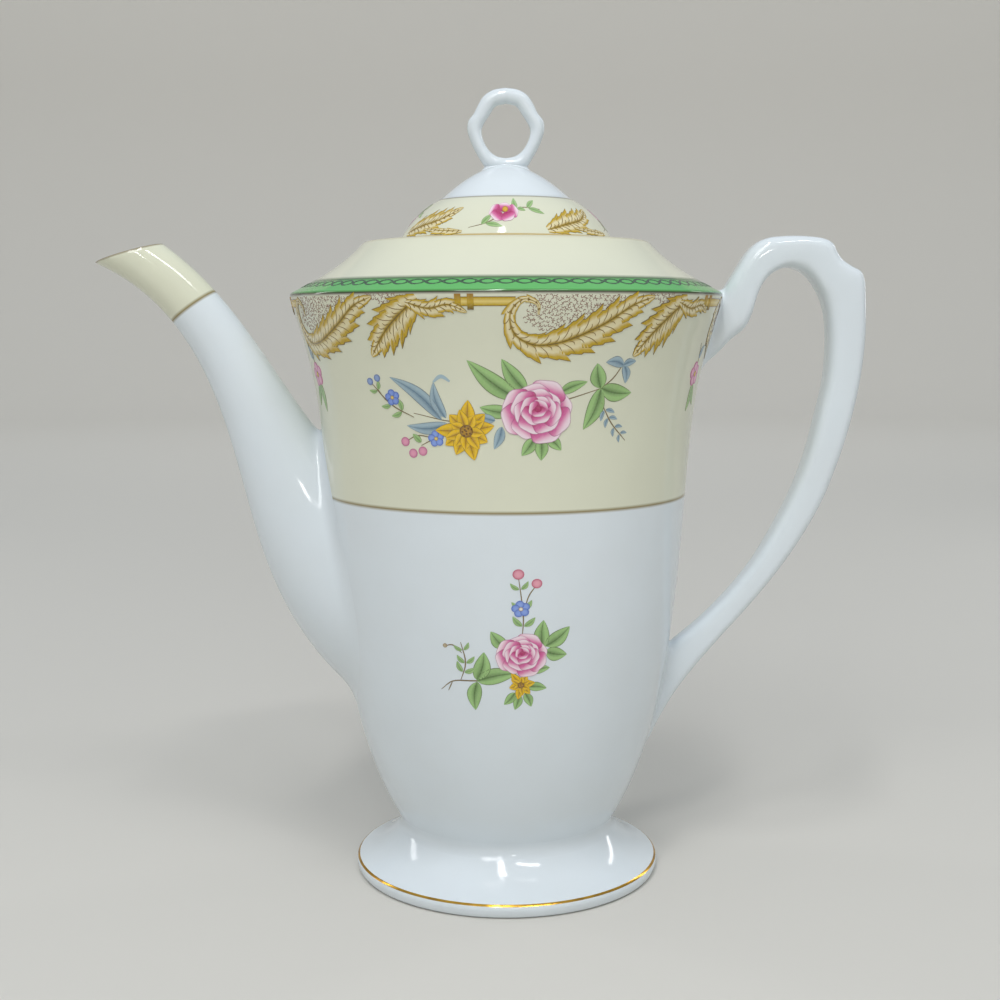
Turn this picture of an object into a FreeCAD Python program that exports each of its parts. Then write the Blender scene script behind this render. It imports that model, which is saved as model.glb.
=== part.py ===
"""Footed porcelain coffee pot: cast body, luted foot, spout and handle, and a lid that lifts off.

Frame: millimetres, +Z up, origin on the pot's axis in the plane of the foot ring.
The spout points to -X and the handle to +X.
"""
import FreeCAD, Part
import math
import os

import Sketcher

# Every driving dimension, in millimetres, degrees or plain ratios, under the name of its sheet cell.
SIZES = {
    # pedestal foot
    "foot_base_radius": 41.3,
    "foot_edge_radius": 42.4,
    "foot_edge_height": 3.6,
    "foot_edge_tuck": 0.9,
    "foot_ring_width": 5.0,
    "foot_flare_radius": 33.2,
    "foot_flare_height": 6.8,
    "foot_height": 14.0,
    "foot_wall": 3.8,
    # body, outside: radius and height of the five points that steer its curve
    "neck_radius": 29.2,
    "belly_radius": 46.8,
    "belly_rise": 26.5,
    "waist_radius": 48.5,
    "waist_drop": 19.2,
    "flare_radius": 55.9,
    "flare_drop": 11.8,
    "rim_radius": 58.4,
    "rim_height": 160.0,
    "rim_rounding": 1.4,
    # body, inside
    "body_wall": 3.6,
    "floor_thickness": 5.0,
    # shoulder and the gallery that the lid sits in
    "shoulder_rise": 13.8,
    "shoulder_bend_radius": 44.2,
    "shoulder_bend_rise": 6.9,
    "shoulder_wall": 4.2,
    "lip_radius": 38.4,
    "lip_rounding": 1.2,
    "gallery_radius": 35.6,
    "gallery_depth": 3.0,
    "gallery_floor": 3.4,
    "mouth_radius": 31.6,
    # strainer holes behind the spout
    "strainer_hole": 5.0,
    "strainer_pitch": 8.6,
    "strainer_rise": 7.0,
    # spout
    "spout_root_sink": 16.8,
    "spout_root_height": 80.5,
    "spout_root_run": 39.4,
    "spout_root_climb": 15.6,
    "spout_tip_reach": 111.0,
    "spout_tip_rise": 15.7,
    "spout_tip_run": 48.5,
    "spout_tip_climb": 19.7,
    "spout_root_radius": 32.6,
    "spout_tip_radius": 6.6,
    "spout_taper": 2.9,
    "spout_flatness": 0.2,
    "spout_wall": 2.6,
    "spout_mouth_slope": 15.4,
    # handle
    "handle_root_sink": 8.4,
    "handle_root_drop": 10.2,
    "handle_root_pull": 20.0,
    "handle_root_length": 20.0,
    "handle_top_stand": 17.9,
    "handle_top_rise": 11.9,
    "handle_top_pull": 18.0,
    "handle_top_thickness": 7.0,
    "handle_bend_pull": 17.3,
    "handle_crest_thickness": 9.6,
    "handle_dip_thickness": 8.5,
    "handle_shoulder_thickness": 10.9,
    "handle_outer_stand": 15.8,
    "handle_outer_drop": 13.0,
    "handle_outer_pull": 3.5,
    "handle_outer_thickness": 9.6,
    "handle_sweep_pull": 43.5,
    "handle_waist_thickness": 7.0,
    "handle_tail_sink": 10.8,
    "handle_tail_height": 50.5,
    "handle_tail_pull": 16.0,
    "handle_tail_length": 31.0,
    "handle_breadth": 12.0,
    "handle_root_breadth": 8.0,
    "handle_tail_breadth": 7.0,
    "handle_roundness": 0.4,
    # lid
    "lid_side_clearance": 0.35,
    "dome_base_radius": 29.1,
    "dome_swell_radius": 24.2,
    "dome_swell_rise": 8.2,
    "dome_step_radius": 17.2,
    "dome_step_rise": 11.6,
    "dome_crown_radius": 8.0,
    "dome_crown_rise": 20.0,
    "dome_top_rise": 20.8,
    "lid_wall": 3.0,
    "collar_clearance": 0.6,
    "collar_depth": 12.0,
    "collar_wall": 3.0,
    # ring finial
    "ring_radius": 8.45,
    "ring_wire_radius": 2.05,
    "ring_seat": 0.9,
    "finial_neck_radius": 6.3,
    "finial_neck_flatness": 0.45,
    "finial_web_radius": 6.9,
    "finial_web_flatness": 0.75,
    "finial_web_rise": 2.0,
}
SHEET = "Sizes"
FULL_TURN = 360
STRAINER_RING_HOLES = 6
# Where the sections stand along each curve: 0 at its start, 1 at its end
SPOUT_SHARES = [0.0, 0.08, 0.16, 0.25, 0.34, 0.44, 0.55, 0.66, 0.77, 0.88, 1.0]
SPOUT_MOUTH_SHARE = 0.93
HANDLE_RISE_SHARES = [0.0, 0.16, 0.33, 0.5, 0.67, 0.84]
HANDLE_SWEEP_SHARES = [0.0, 0.14, 0.28, 0.42, 0.56, 0.68, 0.8, 0.9, 1.0]
# How quickly the handle spreads at its two roots and narrows towards them
HANDLE_ROOT_FLARE = 3
HANDLE_TAIL_FLARE = 7
HANDLE_NARROWING = 2
# Share of the way down the sweep at which the strap has reached its thin waist
HANDLE_WAIST_SHARE = 0.5
# Share of the thicker section in the ones that lead up to and away from it
HANDLE_EASE = 0.3

doc = FreeCAD.newDocument("coffee_pot")
sheet = doc.addObject("Spreadsheet::Sheet", SHEET)
for row, (alias, number) in enumerate(SIZES.items(), start=1):
    sheet.set(f"A{row}", alias)
    sheet.set(f"B{row}", str(number))
    sheet.setAlias(f"B{row}", alias)
doc.recompute()


class Size:
    """A number together with the sheet formula that gives it."""

    def __init__(self, value, formula):
        self.value = value
        self.formula = formula

    def __add__(self, other):
        other = as_size(other)
        return Size(self.value + other.value, f"({self.formula} + {other.formula})")

    def __sub__(self, other):
        other = as_size(other)
        return Size(self.value - other.value, f"({self.formula} - {other.formula})")

    def __mul__(self, other):
        other = as_size(other)
        return Size(self.value * other.value, f"({self.formula} * {other.formula})")

    def __neg__(self):
        return Size(-self.value, f"(0 - {self.formula})")

    def __radd__(self, other):
        return as_size(other) + self

    def __rsub__(self, other):
        return as_size(other) - self

    def __rmul__(self, other):
        return as_size(other) * self


def as_size(number):
    """Let plain numbers stand beside sheet sizes."""
    return number if isinstance(number, Size) else Size(number, f"{number:.6f}")


def cell(alias):
    return Size(sheet.get(alias), f"{SHEET}.{alias}")


def power(base, exponent):
    """A plain number raised to a size from the sheet."""
    return Size(base ** exponent.value, f"({base:.6f} ^ {exponent.formula})")


def lean_from_upright(run, climb):
    """Angle between +Z and a path that climbs while it runs towards +X, in degrees."""
    angle = math.degrees(math.atan2(run.value, climb.value))
    return Size(angle, f"atan2({run.formula}; {climb.formula})")


def degrees(size):
    """Give a plain size from the sheet the unit that angles need."""
    return Size(size.value, f"({size.formula} * 1 deg)")


def smaller(first, second):
    return Size(min(first.value, second.value), f"min({first.formula}; {second.formula})")


def bind(item, prop, size):
    """Set a property and keep it tied to its sheet formula."""
    item.setExpression(prop, as_size(size).formula)


ZERO = as_size(0.0)


def add_body(name):
    return doc.addObject("PartDesign::Body", name)


def add_sketch(body, name, role):
    """A sketch on one of the body's own origin planes."""
    sketch = body.newObject("Sketcher::SketchObject", name)
    plane = [item for item in body.Origin.OriginFeatures if item.Role == role][0]
    sketch.AttachmentSupport = (plane, "")
    sketch.MapMode = "FlatFace"
    return sketch


ORIGIN_POINT = (-1, 1)
AXIS_ACROSS = -1
AXIS_UP = -2
START, END, CENTRE = 1, 2, 3


def place_point(sketch, geometry, corner, across, up):
    """Pin one point of a sketch at sizes from the sheet, or on an axis where a size is nought."""
    for kind, size, axis in (("DistanceX", across, AXIS_UP), ("DistanceY", up, AXIS_ACROSS)):
        if abs(size.value) < 1e-9:
            sketch.addConstraint(Sketcher.Constraint("PointOnObject", geometry, corner, axis))
            continue
        pin = Sketcher.Constraint(kind, *ORIGIN_POINT, geometry, corner, size.value)
        index = sketch.addConstraint(pin)
        bind(sketch, f"Constraints[{index}]", size)


def vector(across, up):
    return FreeCAD.Vector(across.value, up.value, 0)


def draw_profile(sketch, runs):
    """Draw a closed outline of runs: two points make a line, more are the poles of a smooth curve.

    Each run starts where the one before it ends, and the last ends where the first starts.
    """
    drawn = []
    for points in runs:
        if len(points) == 2:
            geometry = sketch.addGeometry(Part.LineSegment(vector(*points[0]), vector(*points[1])))
        else:
            degree = min(3, len(points) - 1)
            spans = len(points) - degree
            knots = [step / spans for step in range(spans + 1)]
            mults = [degree + 1] + [1] * (spans - 1) + [degree + 1]
            curve = Part.BSplineCurve()
            poles = [vector(*point) for point in points]
            curve.buildFromPolesMultsKnots(poles, mults, knots, False, degree)
            geometry = sketch.addGeometry(curve)
            sketch.exposeInternalGeometry(geometry)
        drawn.append(geometry)
    for position, points in enumerate(runs):
        before = position - 1
        sketch.addConstraint(
            Sketcher.Constraint("Coincident", drawn[before], END, drawn[position], START))
        curved = len(points) > 2
        if curved:
            for pole, point in enumerate(points[1:], start=2):
                place_point(sketch, drawn[position] + pole, CENTRE, *point)
        if len(runs[before]) == 2:
            place_point(sketch, drawn[position], START, *points[0])


def revolve(body, name, runs):
    """Turn an outline, drawn in radius and height, about the pot's axis."""
    sketch = add_sketch(body, name + "_profile", "XZ_Plane")
    draw_profile(sketch, runs)
    turned = body.newObject("PartDesign::Revolution", name + "_turned")
    turned.Profile = sketch
    turned.ReferenceAxis = (sketch, ["V_Axis"])
    turned.Angle = FULL_TURN
    doc.recompute()
    return turned


def round_edge(body, base, name, radius, height, rounding):
    """Round the circular edge that lies at the given radius and height."""
    tolerance = 0.01
    edges = []
    for number, edge in enumerate(base.Shape.Edges, start=1):
        box = edge.BoundBox
        level = abs(box.ZMin - height.value) < tolerance and abs(box.ZMax - height.value) < tolerance
        if level and abs(box.XMax - radius.value) < tolerance:
            edges.append(f"Edge{number}")
    fillet = body.newObject("PartDesign::Fillet", name)
    fillet.Base = (base, edges)
    bind(fillet, "Radius", rounding)
    doc.recompute()
    return fillet


# Levels that several pieces share
neck_level = cell("foot_height")
rim_level = cell("rim_height")
lip_level = rim_level + cell("shoulder_rise")
seat_level = lip_level - cell("gallery_depth")
gallery_underside = seat_level - cell("gallery_floor")
belly_level = neck_level + cell("belly_rise")
waist_level = rim_level - cell("waist_drop")
flare_level = rim_level - cell("flare_drop")

# The outside of the pot, from the neck above the foot to the lip round the lid
neck_point = (cell("neck_radius"), neck_level)
rim_point = (cell("rim_radius"), rim_level)
lip_point = (cell("lip_radius"), lip_level)
wall_curve = [
    neck_point,
    (cell("belly_radius"), belly_level),
    (cell("waist_radius"), waist_level),
    (cell("flare_radius"), flare_level),
    rim_point,
]
shoulder_bend = (cell("shoulder_bend_radius"), rim_level + cell("shoulder_bend_rise"))
shoulder_curve = [rim_point, shoulder_bend, lip_point]


def make_pot_form():
    """The pot's outside as a full solid, which the spout and the handle are cut to."""
    body = add_body("pot_form")
    foot_centre = (ZERO, neck_level)
    lid_centre = (ZERO, lip_level)
    revolve(body, "pot_form", [
        [foot_centre, neck_point],
        wall_curve,
        shoulder_curve,
        [lip_point, lid_centre],
        [lid_centre, foot_centre],
    ])
    return body


def make_body_shell():
    """The slip-cast body: floor, flared wall, shoulder and the stepped seat for the lid."""
    body = add_body("body_shell")
    wall = cell("body_wall")
    half_wall = 0.5 * wall
    floor_level = neck_level + cell("floor_thickness")
    under_centre = (ZERO, neck_level)
    floor_centre = (ZERO, floor_level)
    floor_edge = (cell("neck_radius") - half_wall, floor_level)
    under_rim = (cell("rim_radius") - wall, rim_level - half_wall)
    gallery_top = (cell("gallery_radius"), lip_level)
    gallery_corner = (cell("gallery_radius"), seat_level)
    mouth_top = (cell("mouth_radius"), seat_level)
    mouth_bottom = (cell("mouth_radius"), gallery_underside)
    shoulder_root = (cell("gallery_radius") + half_wall, gallery_underside)
    shoulder_hollow = (shoulder_bend[0], shoulder_bend[1] - cell("shoulder_wall"))
    inner_curve = [
        under_rim,
        (cell("flare_radius") - wall, flare_level),
        (cell("waist_radius") - wall, waist_level),
        (cell("belly_radius") - wall, belly_level),
        floor_edge,
    ]
    turned = revolve(body, "body_shell", [
        [under_centre, neck_point],
        wall_curve,
        shoulder_curve,
        [lip_point, gallery_top],
        [gallery_top, gallery_corner],
        [gallery_corner, mouth_top],
        [mouth_top, mouth_bottom],
        [mouth_bottom, shoulder_root],
        [shoulder_root, shoulder_hollow, under_rim],
        inner_curve,
        [floor_edge, floor_centre],
        [floor_centre, under_centre],
    ])
    rounded = round_edge(body, turned, "rim_edge", *rim_point, cell("rim_rounding"))
    rounded = round_edge(body, rounded, "lip_edge", *lip_point, cell("lip_rounding"))
    pierce_strainer(body, rounded)
    return body


def pierce_strainer(body, base):
    """One hole ringed by six, bored through the wall behind the spout."""
    sketch = add_sketch(body, "strainer_holes", "YZ_Plane")
    level = cell("spout_root_height") + cell("strainer_rise")
    bore = cell("strainer_hole")
    around = [(ZERO, ZERO)]
    pitch = cell("strainer_pitch")
    for step in range(STRAINER_RING_HOLES):
        angle = math.radians(FULL_TURN / STRAINER_RING_HOLES * step)
        around.append((round(math.cos(angle), 6) * pitch, round(math.sin(angle), 6) * pitch))
    for across, up in around:
        centre = (across, level + up)
        circle = Part.Circle(vector(*centre), FreeCAD.Vector(0, 0, 1), bore.value / 2)
        hole = sketch.addGeometry(circle)
        place_point(sketch, hole, CENTRE, *centre)
        index = sketch.addConstraint(Sketcher.Constraint("Diameter", hole, bore.value))
        bind(sketch, f"Constraints[{index}]", bore)
    pocket = body.newObject("PartDesign::Pocket", "strainer")
    pocket.Profile = sketch
    pocket.Type = "Length"
    bind(pocket, "Length", cell("rim_radius"))
    doc.recompute()
    if pocket.Shape.Volume >= base.Shape.Volume:
        raise RuntimeError("the strainer holes cut nothing")


def make_foot():
    """The hollow pedestal foot, luted to the flat underside of the body."""
    body = add_body("pedestal_foot")
    wall = cell("foot_wall")
    flare = (cell("foot_flare_radius"), cell("foot_flare_height"))
    edge_radius = cell("foot_edge_radius")
    edge_level = cell("foot_edge_height")
    joint_inner = (cell("neck_radius") - wall, neck_level)
    edge_point = (edge_radius, edge_level)
    base_outer = (cell("foot_base_radius"), ZERO)
    base_inner = (cell("foot_base_radius") - cell("foot_ring_width"), ZERO)
    top_curve = [neck_point, flare, edge_point]
    edge_curve = [edge_point, (edge_radius, cell("foot_edge_tuck")), base_outer]
    hollow_curve = [base_inner, (flare[0] - wall, flare[1] - wall), joint_inner]
    revolve(body, "pedestal_foot", [
        [joint_inner, neck_point],
        top_curve,
        edge_curve,
        [base_outer, base_inner],
        hollow_curve,
    ])
    return body


# The outside of the lid's dome: a cream skirt, a small step, and the white crown
dome_foot = (cell("dome_base_radius"), lip_level)
dome_step = (cell("dome_step_radius"), lip_level + cell("dome_step_rise"))
dome_top = (ZERO, lip_level + cell("dome_top_rise"))
crown_curve = [dome_top, (cell("dome_crown_radius"), lip_level + cell("dome_crown_rise")), dome_step]
skirt_curve = [dome_step, (cell("dome_swell_radius"), lip_level + cell("dome_swell_rise")), dome_foot]


def make_lid_form():
    """The dome as a full solid, which the finial is cut to."""
    body = add_body("lid_form")
    dome_centre = (ZERO, lip_level)
    revolve(body, "lid_form", [crown_curve, skirt_curve, [dome_foot, dome_centre], [dome_centre, dome_top]])
    return body


def make_lid():
    """The cast lid: dome, flat rim that lies in the gallery, and the collar that keeps it in the mouth."""
    body = add_body("lid")
    wall = cell("lid_wall")
    half_wall = 0.5 * wall
    rim_radius = cell("gallery_radius") - cell("lid_side_clearance")
    collar_outer = cell("mouth_radius") - cell("collar_clearance")
    collar_inner = collar_outer - cell("collar_wall")
    collar_end = seat_level - cell("collar_depth")
    rim_top = (rim_radius, lip_level)
    rim_under = (rim_radius, seat_level)
    collar_root = (collar_outer, seat_level)
    collar_tip = (collar_outer, collar_end)
    collar_tip_inside = (collar_inner, collar_end)
    hollow_foot = (collar_inner, seat_level - half_wall)
    hollow_top = (ZERO, dome_top[1] - wall)
    hollow_curve = [
        hollow_foot,
        (cell("dome_swell_radius") - half_wall, lip_level + cell("dome_swell_rise") - wall),
        (cell("dome_crown_radius"), lip_level + cell("dome_crown_rise") - wall),
        hollow_top,
    ]
    revolve(body, "lid", [
        crown_curve,
        skirt_curve,
        [dome_foot, rim_top],
        [rim_top, rim_under],
        [rim_under, collar_root],
        [collar_root, collar_tip],
        [collar_tip, collar_tip_inside],
        [collar_tip_inside, hollow_foot],
        hollow_curve,
        [hollow_top, dome_top],
    ])
    return body


def bezier(points, share):
    """Point and direction of a four-point curve, as sheet formulas, at a share of its length."""
    left = 1 - share
    weights = (left ** 3, 3 * left ** 2 * share, 3 * left * share ** 2, share ** 3)
    slopes = (-left ** 2, left ** 2 - 2 * left * share, 2 * left * share - share ** 2, share ** 2)
    place = [ZERO, ZERO]
    slope = [ZERO, ZERO]
    for point, weight, lean in zip(points, weights, slopes):
        for axis in range(2):
            place[axis] = place[axis] + weight * point[axis]
            slope[axis] = slope[axis] + lean * point[axis]
    return place, lean_from_upright(*slope)


def stand_across(item, place, lean):
    """Put a flat section square across a path that leans in the plane of spout and handle."""
    item.Placement = FreeCAD.Placement(
        FreeCAD.Vector(place[0].value, 0, place[1].value),
        FreeCAD.Rotation(FreeCAD.Vector(0, 1, 0), lean.value))
    bind(item, "Placement.Base.x", place[0])
    bind(item, "Placement.Base.z", place[1])
    bind(item, "Placement.Rotation.Angle", lean)


def loft(name, sections):
    shape = doc.addObject("Part::Loft", name)
    shape.Sections = sections
    shape.Solid = True
    shape.Ruled = False
    doc.recompute()
    return shape


def cut(name, base, tool):
    shape = doc.addObject("Part::Cut", name)
    shape.Base = base
    shape.Tool = tool
    doc.recompute()
    return shape


def make_spout(pot_form):
    """The hollow spout: a horn that swells to its root, cut to the body and sliced at its mouth."""
    root_reach = -(cell("belly_radius") - cell("spout_root_sink"))
    root = (root_reach, cell("spout_root_height"))
    tip = (-cell("spout_tip_reach"), rim_level + cell("spout_tip_rise"))
    path = [
        root,
        (root[0] - cell("spout_root_run"), root[1] + cell("spout_root_climb")),
        (tip[0] + cell("spout_tip_run"), tip[1] - cell("spout_tip_climb")),
        tip,
    ]
    tip_radius = cell("spout_tip_radius")
    outer_sections = []
    bore_sections = []
    for number, share in enumerate(SPOUT_SHARES):
        place, lean = bezier(path, share)
        swell = power(1 - share, cell("spout_taper")) if share < 1 else ZERO
        along = tip_radius + (cell("spout_root_radius") - tip_radius) * swell
        across = along * (1 - (1 - share) * cell("spout_flatness"))
        kinds = (("outside", outer_sections, ZERO), ("bore", bore_sections, cell("spout_wall")))
        for kind, sections, wall in kinds:
            oval = doc.addObject("Part::Ellipse", f"spout_{kind}_{number}")
            bind(oval, "MajorRadius", along - wall)
            bind(oval, "MinorRadius", across - wall)
            stand_across(oval, place, lean)
            sections.append(oval)
    doc.recompute()
    horn = loft("spout_horn", outer_sections)
    bore = loft("spout_bore", bore_sections)
    mouth_place, _ = bezier(path, SPOUT_MOUTH_SHARE)
    slice_above = doc.addObject("Part::Cylinder", "spout_mouth_slice")
    slice_reach = cell("spout_tip_reach") - cell("rim_radius")
    bind(slice_above, "Radius", slice_reach)
    bind(slice_above, "Height", slice_reach)
    stand_across(slice_above, mouth_place, degrees(-cell("spout_mouth_slope")))
    doc.recompute()
    seated = cut("spout_seated", horn, pot_form)
    sliced = cut("spout_sliced", seated, slice_above)
    spout = cut("spout_hollow", sliced, bore)
    spout.Label = "spout"
    return spout


def strap_section(name, thickness, breadth):
    """A rounded rectangle: thickness in the plane of the handle, breadth across it."""
    sketch = doc.addObject("Sketcher::SketchObject", name)
    half_x = 0.5 * thickness
    half_y = 0.5 * breadth
    corner = cell("handle_roundness") * smaller(thickness, breadth)
    x, y, r = half_x.value, half_y.value, corner.value
    point = FreeCAD.Vector
    flat = [
        (point(-x + r, y, 0), point(x - r, y, 0)),
        (point(x, y - r, 0), point(x, -y + r, 0)),
        (point(x - r, -y, 0), point(-x + r, -y, 0)),
        (point(-x, -y + r, 0), point(-x, y - r, 0)),
    ]
    centres = [(x - r, y - r), (x - r, -y + r), (-x + r, -y + r), (-x + r, y - r)]
    lines = [sketch.addGeometry(Part.LineSegment(*ends)) for ends in flat]
    arcs = []
    for quarter, (across, up) in enumerate(centres):
        circle = Part.Circle(point(across, up, 0), point(0, 0, 1), r)
        finish = math.radians(90 - 90 * quarter)
        arcs.append(sketch.addGeometry(Part.ArcOfCircle(circle, finish - math.pi / 2, finish)))
    for quarter in range(4):
        onward = (quarter + 1) % 4
        sketch.addConstraint(Sketcher.Constraint("Tangent", lines[quarter], END, arcs[quarter], END))
        sketch.addConstraint(Sketcher.Constraint("Tangent", arcs[quarter], START, lines[onward], START))
        heading = "Horizontal" if quarter % 2 == 0 else "Vertical"
        sketch.addConstraint(Sketcher.Constraint(heading, lines[quarter]))
        if quarter > 0:
            sketch.addConstraint(Sketcher.Constraint("Equal", arcs[0], arcs[quarter]))
    rounding = sketch.addConstraint(Sketcher.Constraint("Radius", arcs[0], r))
    bind(sketch, f"Constraints[{rounding}]", corner)
    sides = (("DistanceY", half_y), ("DistanceX", half_x), ("DistanceY", -half_y), ("DistanceX", -half_x))
    for line, (kind, size) in zip(lines, sides):
        index = sketch.addConstraint(Sketcher.Constraint(kind, *ORIGIN_POINT, line, START, size.value))
        bind(sketch, f"Constraints[{index}]", size)
    return sketch


def make_handle(pot_form):
    """The strap handle: rises from under the rim, bends past a thumb dip, and sweeps down to its tail."""
    top_thick = cell("handle_top_thickness")
    outer_thick = cell("handle_outer_thickness")
    waist_thick = cell("handle_waist_thickness")
    breadth = cell("handle_breadth")
    root = (cell("rim_radius") - cell("handle_root_sink"), rim_level - cell("handle_root_drop"))
    top = (cell("rim_radius") + cell("handle_top_stand"), rim_level + cell("handle_top_rise"))
    outer = (top[0] + cell("handle_outer_stand"), rim_level - cell("handle_outer_drop"))
    tail = (cell("belly_radius") - cell("handle_tail_sink"), cell("handle_tail_height"))
    rise = [
        root,
        (root[0] + cell("handle_root_pull"), root[1]),
        (top[0] - cell("handle_top_pull"), top[1]),
        top,
    ]
    bend = [
        top,
        (top[0] + cell("handle_bend_pull"), top[1]),
        (outer[0], outer[1] + cell("handle_outer_pull")),
        outer,
    ]
    sweep = [
        outer,
        (outer[0], outer[1] - cell("handle_sweep_pull")),
        (tail[0] + cell("handle_tail_pull"), tail[1]),
        tail,
    ]
    stations = []
    for share in HANDLE_RISE_SHARES:
        spread = (1 - share) ** HANDLE_ROOT_FLARE * (cell("handle_root_length") - top_thick)
        narrowing = (1 - share) ** HANDLE_NARROWING * (breadth - cell("handle_root_breadth"))
        stations.append((rise, share, top_thick + spread, breadth - narrowing))
    crest = cell("handle_crest_thickness")
    shoulder = cell("handle_shoulder_thickness")
    bend_stations = (
        (0.0, top_thick),
        (0.12, top_thick + HANDLE_EASE * (crest - top_thick)),
        (0.21, crest),
        (0.3, cell("handle_dip_thickness")),
        (0.45, shoulder),
        (0.62, outer_thick + HANDLE_EASE * (shoulder - outer_thick)),
        (0.82, outer_thick),
    )
    for share, thickness in bend_stations:
        stations.append((bend, share, thickness, breadth))
    for share in HANDLE_SWEEP_SHARES:
        thinning = min(1.0, share / HANDLE_WAIST_SHARE) * (waist_thick - outer_thick)
        spread = share ** HANDLE_TAIL_FLARE * (cell("handle_tail_length") - waist_thick)
        narrowing = share ** HANDLE_NARROWING * (breadth - cell("handle_tail_breadth"))
        stations.append((sweep, share, outer_thick + thinning + spread, breadth - narrowing))
    sections = []
    for number, (path, share, thickness, wide) in enumerate(stations):
        section = strap_section(f"handle_section_{number}", thickness, wide)
        place, lean = bezier(path, share)
        stand_across(section, place, lean)
        sections.append(section)
    doc.recompute()
    strap = loft("handle_strap", sections)
    handle = cut("handle_seated", strap, pot_form)
    handle.Label = "handle"
    return handle


def make_finial(lid_form):
    """The ring that the lid is lifted by, standing on a short neck on the crown."""
    ring_level = dome_top[1] - cell("ring_seat") + cell("ring_radius") + cell("ring_wire_radius")
    ring = doc.addObject("Part::Torus", "finial_ring")
    bind(ring, "Radius1", cell("ring_radius"))
    bind(ring, "Radius2", cell("ring_wire_radius"))
    upright = FreeCAD.Rotation(FreeCAD.Vector(1, 0, 0), 90)
    ring.Placement = FreeCAD.Placement(FreeCAD.Vector(0, 0, 0), upright)
    bind(ring, "Placement.Base.z", ring_level)
    neck_sections = []
    web_level = dome_top[1] + cell("finial_web_rise")
    sections = (
        (dome_top[1] - cell("lid_wall"), cell("finial_neck_radius"), cell("finial_neck_flatness")),
        (dome_top[1], cell("finial_neck_radius"), cell("finial_neck_flatness")),
        (web_level, cell("finial_web_radius"), cell("finial_web_flatness")),
    )
    for number, (level, radius, flatness) in enumerate(sections):
        oval = doc.addObject("Part::Ellipse", f"finial_neck_{number}")
        bind(oval, "MajorRadius", radius)
        bind(oval, "MinorRadius", radius * (1 - flatness))
        bind(oval, "Placement.Base.z", level)
        neck_sections.append(oval)
    doc.recompute()
    neck = loft("finial_neck", neck_sections)
    joined = doc.addObject("Part::Fuse", "finial_joined")
    joined.Base = ring
    joined.Tool = neck
    doc.recompute()
    finial = cut("finial_seated", joined, lid_form)
    finial.Label = "ring_finial"
    return finial


def check(items):
    """Stop before anything is written if a feature failed or a piece isn't one sound solid."""
    doc.recompute()
    for item in doc.Objects:
        if "Invalid" in item.State or "Error" in item.State:
            raise RuntimeError(f"{item.Name} failed: {item.State}")
    for item in items:
        shape = item.Shape
        if shape.isNull() or not shape.isValid() or len(shape.Solids) != 1:
            raise RuntimeError(f"{item.Label} is not one sound solid")


pot_form = make_pot_form()
lid_form = make_lid_form()
pieces = [
    make_body_shell(),
    make_foot(),
    make_spout(pot_form),
    make_handle(pot_form),
    make_lid(),
    make_finial(lid_form),
]
check(pieces)
os.makedirs("parts", exist_ok=True)
for piece in pieces:
    piece.Shape.exportStep(f"parts/{piece.Label}.step")
    box = piece.Shape.BoundBox
    print(f"{piece.Label}: {piece.Shape.Volume:.0f} mm3, x {box.XMin:.1f} to {box.XMax:.1f},",
          f"y {box.YMin:.1f} to {box.YMax:.1f}, z {box.ZMin:.1f} to {box.ZMax:.1f}")
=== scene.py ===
"""The looks of a footed porcelain coffee pot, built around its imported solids.

Sizes are in millimetres in the part's own frame: +Z up, origin on the pot's axis in the plane of the
foot ring, spout towards -X, handle towards +X. Angles round the pot start at the front, -Y, and grow
towards the handle. MM turns a size into Blender's metres.
"""
import math

import bmesh
import bpy
import numpy as np
from mathutils import Matrix, Vector


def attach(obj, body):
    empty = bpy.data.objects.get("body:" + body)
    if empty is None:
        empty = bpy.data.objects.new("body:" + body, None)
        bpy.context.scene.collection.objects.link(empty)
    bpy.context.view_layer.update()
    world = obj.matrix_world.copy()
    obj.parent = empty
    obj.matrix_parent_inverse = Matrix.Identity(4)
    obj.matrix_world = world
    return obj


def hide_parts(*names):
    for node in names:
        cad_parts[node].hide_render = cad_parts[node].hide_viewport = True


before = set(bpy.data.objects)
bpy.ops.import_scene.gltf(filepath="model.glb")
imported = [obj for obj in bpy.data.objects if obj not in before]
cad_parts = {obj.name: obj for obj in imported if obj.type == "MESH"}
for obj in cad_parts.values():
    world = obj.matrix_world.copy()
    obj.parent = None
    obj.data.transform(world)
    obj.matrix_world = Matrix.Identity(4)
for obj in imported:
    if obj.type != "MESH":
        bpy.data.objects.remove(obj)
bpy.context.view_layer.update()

MM = 0.001
SIDES = 240
CREASE = 40
SEAM_SINK = 0.05

# Profiles of the turned pieces, as radius and height
NECK = (29.2, 14.0)
WALL = [NECK, (46.8, 40.5), (48.5, 140.8), (55.9, 148.2), (58.4, 160.0)]
RIM = WALL[-1]
SHOULDER = [RIM, (44.2, 166.9), (38.4, 173.8)]
LIP = SHOULDER[-1]
BODY_WALL = 3.6
FLOOR = (27.4, 19.0)
SEAT_LEVEL = 170.8
GALLERY_RADIUS = 35.6
GALLERY_UNDERSIDE = 167.4
MOUTH_RADIUS = 31.6
UNDER_RIM = (RIM[0] - BODY_WALL, RIM[1] - BODY_WALL / 2)
UNDER_SHOULDER = (SHOULDER[1][0], 162.7)
INSIDE = [UNDER_RIM, *[(radius - BODY_WALL, height) for radius, height in WALL[3:0:-1]], FLOOR]
FOOT_FLARE = [NECK, (33.2, 6.8), (42.4, 3.6)]
FOOT_EDGE = [FOOT_FLARE[-1], (42.4, 0.9), (41.3, 0.0)]
FOOT_HOLLOW = [(36.3, 0.0), (29.4, 3.0), (25.4, NECK[1])]
DOME_CROWN = [(0.0, 194.6), (8.0, 193.8), (17.2, 185.4)]
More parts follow.
